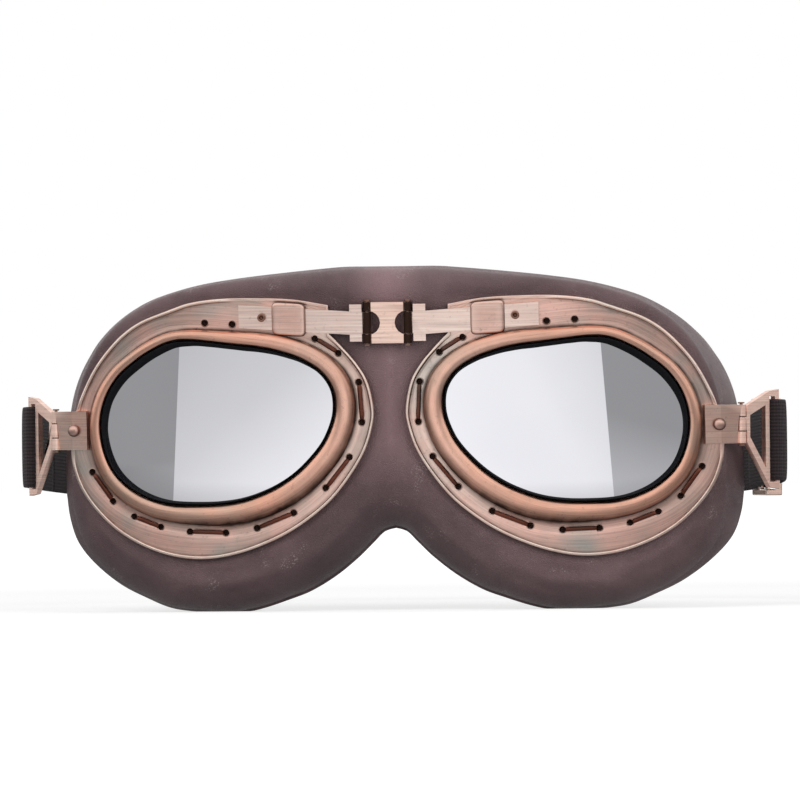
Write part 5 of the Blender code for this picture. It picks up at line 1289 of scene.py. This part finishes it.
# %% Path of the strap
HINGE = np.array([0.0955, 0.0275])
LOOP_SWING = math.radians(60.0)
BAR_START, LOOP_END, STRAP_WALL, STRAP_WIDTH = 0.0165, 0.0186, 0.0013, 0.0225
LIFT = 0.0007 + 0.0003 + STRAP_WALL / 2
STRAP_DEPTH, SIDE_REACH, REAR_REACH, SIDE_LEAN = 0.1520, 0.0560, 0.0620, 0.0020
STRAP_Z, DROOP, LAYER_GAP = 0.0463, 0.0060, 0.0005
SLIDER_DISTANCE, SLIDER_BAR, SLIDER_WALL, SEWN_RETURN = 0.0380, 0.0022, 0.0012, 0.0200


def loop_points(reach, rise):
    """Plan points at a reach out from the loop's hinge and a rise off its face."""
    reach, rise = np.asarray(reach, float), np.asarray(rise, float)
    return HINGE + np.stack([reach * math.cos(LOOP_SWING) + rise * math.sin(LOOP_SWING),
                             reach * math.sin(LOOP_SWING) - rise * math.cos(LOOP_SWING)], axis=-1)


def resampled(line, count):
    """Points at equal steps along a line, both ends included."""
    return at_walk(line, np.linspace(0.0, walked(line)[-1], count))


def cut_line(line, start, end):
    """The stretch of a line between two walked distances."""
    walk, ends = walked(line), at_walk(line, [start, end])
    return np.vstack([ends[:1], line[(walk > start) & (walk < end)], ends[1:]])


turn = np.linspace(math.pi / 2, -math.pi / 2, 15)
reach = [LOOP_END - STRAP_WALL / 2, *(BAR_START - LIFT * np.cos(turn)), LOOP_END - STRAP_WALL / 2]
fold = loop_points(reach, [LIFT, *(LIFT * np.sin(turn)), -LIFT])
outer_start = loop_points(LOOP_END + STRAP_WALL, LIFT - STRAP_WALL / 4)
p0 = outer_start + np.array([-STRAP_WALL / 4, STRAP_WALL * 2])
p1 = p0 + np.array([-SIDE_LEAN, SIDE_REACH])
p3 = np.array([0.0, STRAP_DEPTH])
p2 = p3 + np.array([REAR_REACH, 0.0])
t = np.linspace(0.0, 1.0, 161)[:, None]
arc = (1 - t) ** 3 * p0 + 3 * (1 - t) ** 2 * t * p1 + 3 * (1 - t) * t ** 2 * p2 + t ** 3 * p3
long_run = np.vstack([outer_start, arc])
coarse = np.vstack([outer_start, arc[::6]])
inner_run = (coarse + leftwards(coarse) * (STRAP_WALL + LAYER_GAP))[1:]
sewn_end = cut_line(inner_run, 0.0, SEWN_RETURN)
slid_end = cut_line(inner_run, 0.0, SLIDER_DISTANCE + SLIDER_BAR)
drift = (SLIDER_WALL + 3 * GAP - LAYER_GAP) * np.linspace(0.0, 1.2, len(slid_end)).clip(0.0, 1.0)
slid_end = slid_end + leftwards(slid_end) * drift[:, None]
print("long run", round(walked(long_run)[-1] * 1000), "mm from loop to the middle of the back")


# %% Strap parts
LOOP_Y, EYE_Y, BACK_Y = -0.0335, -0.0215, -0.0030
long_walk, long_y = walked(long_run), long_run[:, 1] - DEPTH_SHIFT
turn_at = [float(np.interp(y, long_y, long_walk)) for y in (EYE_Y, BACK_Y)]


def hang(y):
    """How far the band droops towards the back: a smooth step of its depth."""
    return DROOP * smoothstep(HINGE[1], STRAP_DEPTH, y)


def add_strip(name, lines, side):
    """Strips along plan lines: each ring is a flat oval, its sine and cosine raised to small powers."""
    thick = powered(np.sin(full_turn(36)), 0.45) * STRAP_WALL / 2
    high = powered(np.cos(full_turn(36)), 0.75) * STRAP_WIDTH / 2
    grids, flows = [], []
    for line in lines:
        plan = line[:, None] + leftwards(line)[:, None] * thick[None, :, None]
        z = (STRAP_Z - hang(line[:, 1]))[:, None] + high[None]
        grids.append(np.stack([side * plan[..., 0], plan[..., 1] - DEPTH_SHIFT, z], axis=-1))
        along = np.broadcast_to(walked(line)[:, None], z.shape)
        flows.append(np.stack([along, np.broadcast_to(high, z.shape), np.zeros_like(z)], axis=-1))
    return add_surface(name, np.array(grids), None, elastic, closed=False, caps=True,
                       values={"weave": np.array(flows)})


def make_strap_side(side, returned):
    """The end part runs from the eye round the loop and back to the eye, and the next part from the eye to
    the back.
    """
    name = side_name(side)
    inner_walk = walked(returned)
    meet = float(np.interp(EYE_Y + DEPTH_SHIFT, returned[:, 1], inner_walk))
    first = np.vstack([cut_line(long_run, 0.0, turn_at[0])[::-1], fold, cut_line(returned, 0.0, meet)])
    first = resampled(first, 90)
    end = add_strip("strap_end_" + name, [first], side)
    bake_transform(end)
    run_on = resampled(cut_line(long_run, turn_at[0], turn_at[1]), 24)
    rest = resampled(cut_line(returned, meet, inner_walk[-1]), 24)
    middle = add_strip("strap_side_" + name, [run_on[::-1], rest], side)
    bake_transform(middle)


make_strap_side(-1, sewn_end)
make_strap_side(1, slid_end)
half = cut_line(long_run, turn_at[1], long_walk[-1])
back = resampled(np.vstack([half, (half * [-1, 1])[::-1][1:]]), 220)
rear = add_strip("strap_back", [back], 1)
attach(rear, "bridge")
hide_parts("head_strap")
print("strap back", round(walked(back)[-1] * 1000), "mm")

# %% Sewn tack on the left end
TACK_DISTANCE, TACK_HEIGHT, TACK_WIDTH, STITCHES = 0.0140, 0.0170, 0.0022, 35
THREAD_RADIUS, THREAD_RISE = 0.00024, 0.00028
middle_x, middle_y = at_walk(long_run, [TACK_DISTANCE])[0]
sway = np.where(np.arange(STITCHES) % 2 == 0, -1.0, 1.0) * TACK_WIDTH / 2
stitch_x = np.full(STITCHES, -middle_x - STRAP_WALL / 2 - THREAD_RISE)
stitch_z = STRAP_Z + np.linspace(-1.0, 1.0, STITCHES) * TACK_HEIGHT / 2
path = curve(np.column_stack([stitch_x, middle_y + sway - DEPTH_SHIFT, stitch_z]), steps=6)
face = np.array([-1.0, 0.0, 0.0])
beside = np.cross(unit(np.gradient(path, axis=0)), face)
ring = round_ring(8)[None, :, :, None]
rings = path[:, None] + (beside[:, None] * ring[:, :, 0] + face * ring[:, :, 1]) * THREAD_RADIUS
tack = add_surface("fine_strap_tack", rings, None, thread, closed=False, caps=True)
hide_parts("strap_tack")
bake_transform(tack)
print("tack points", len(rings))
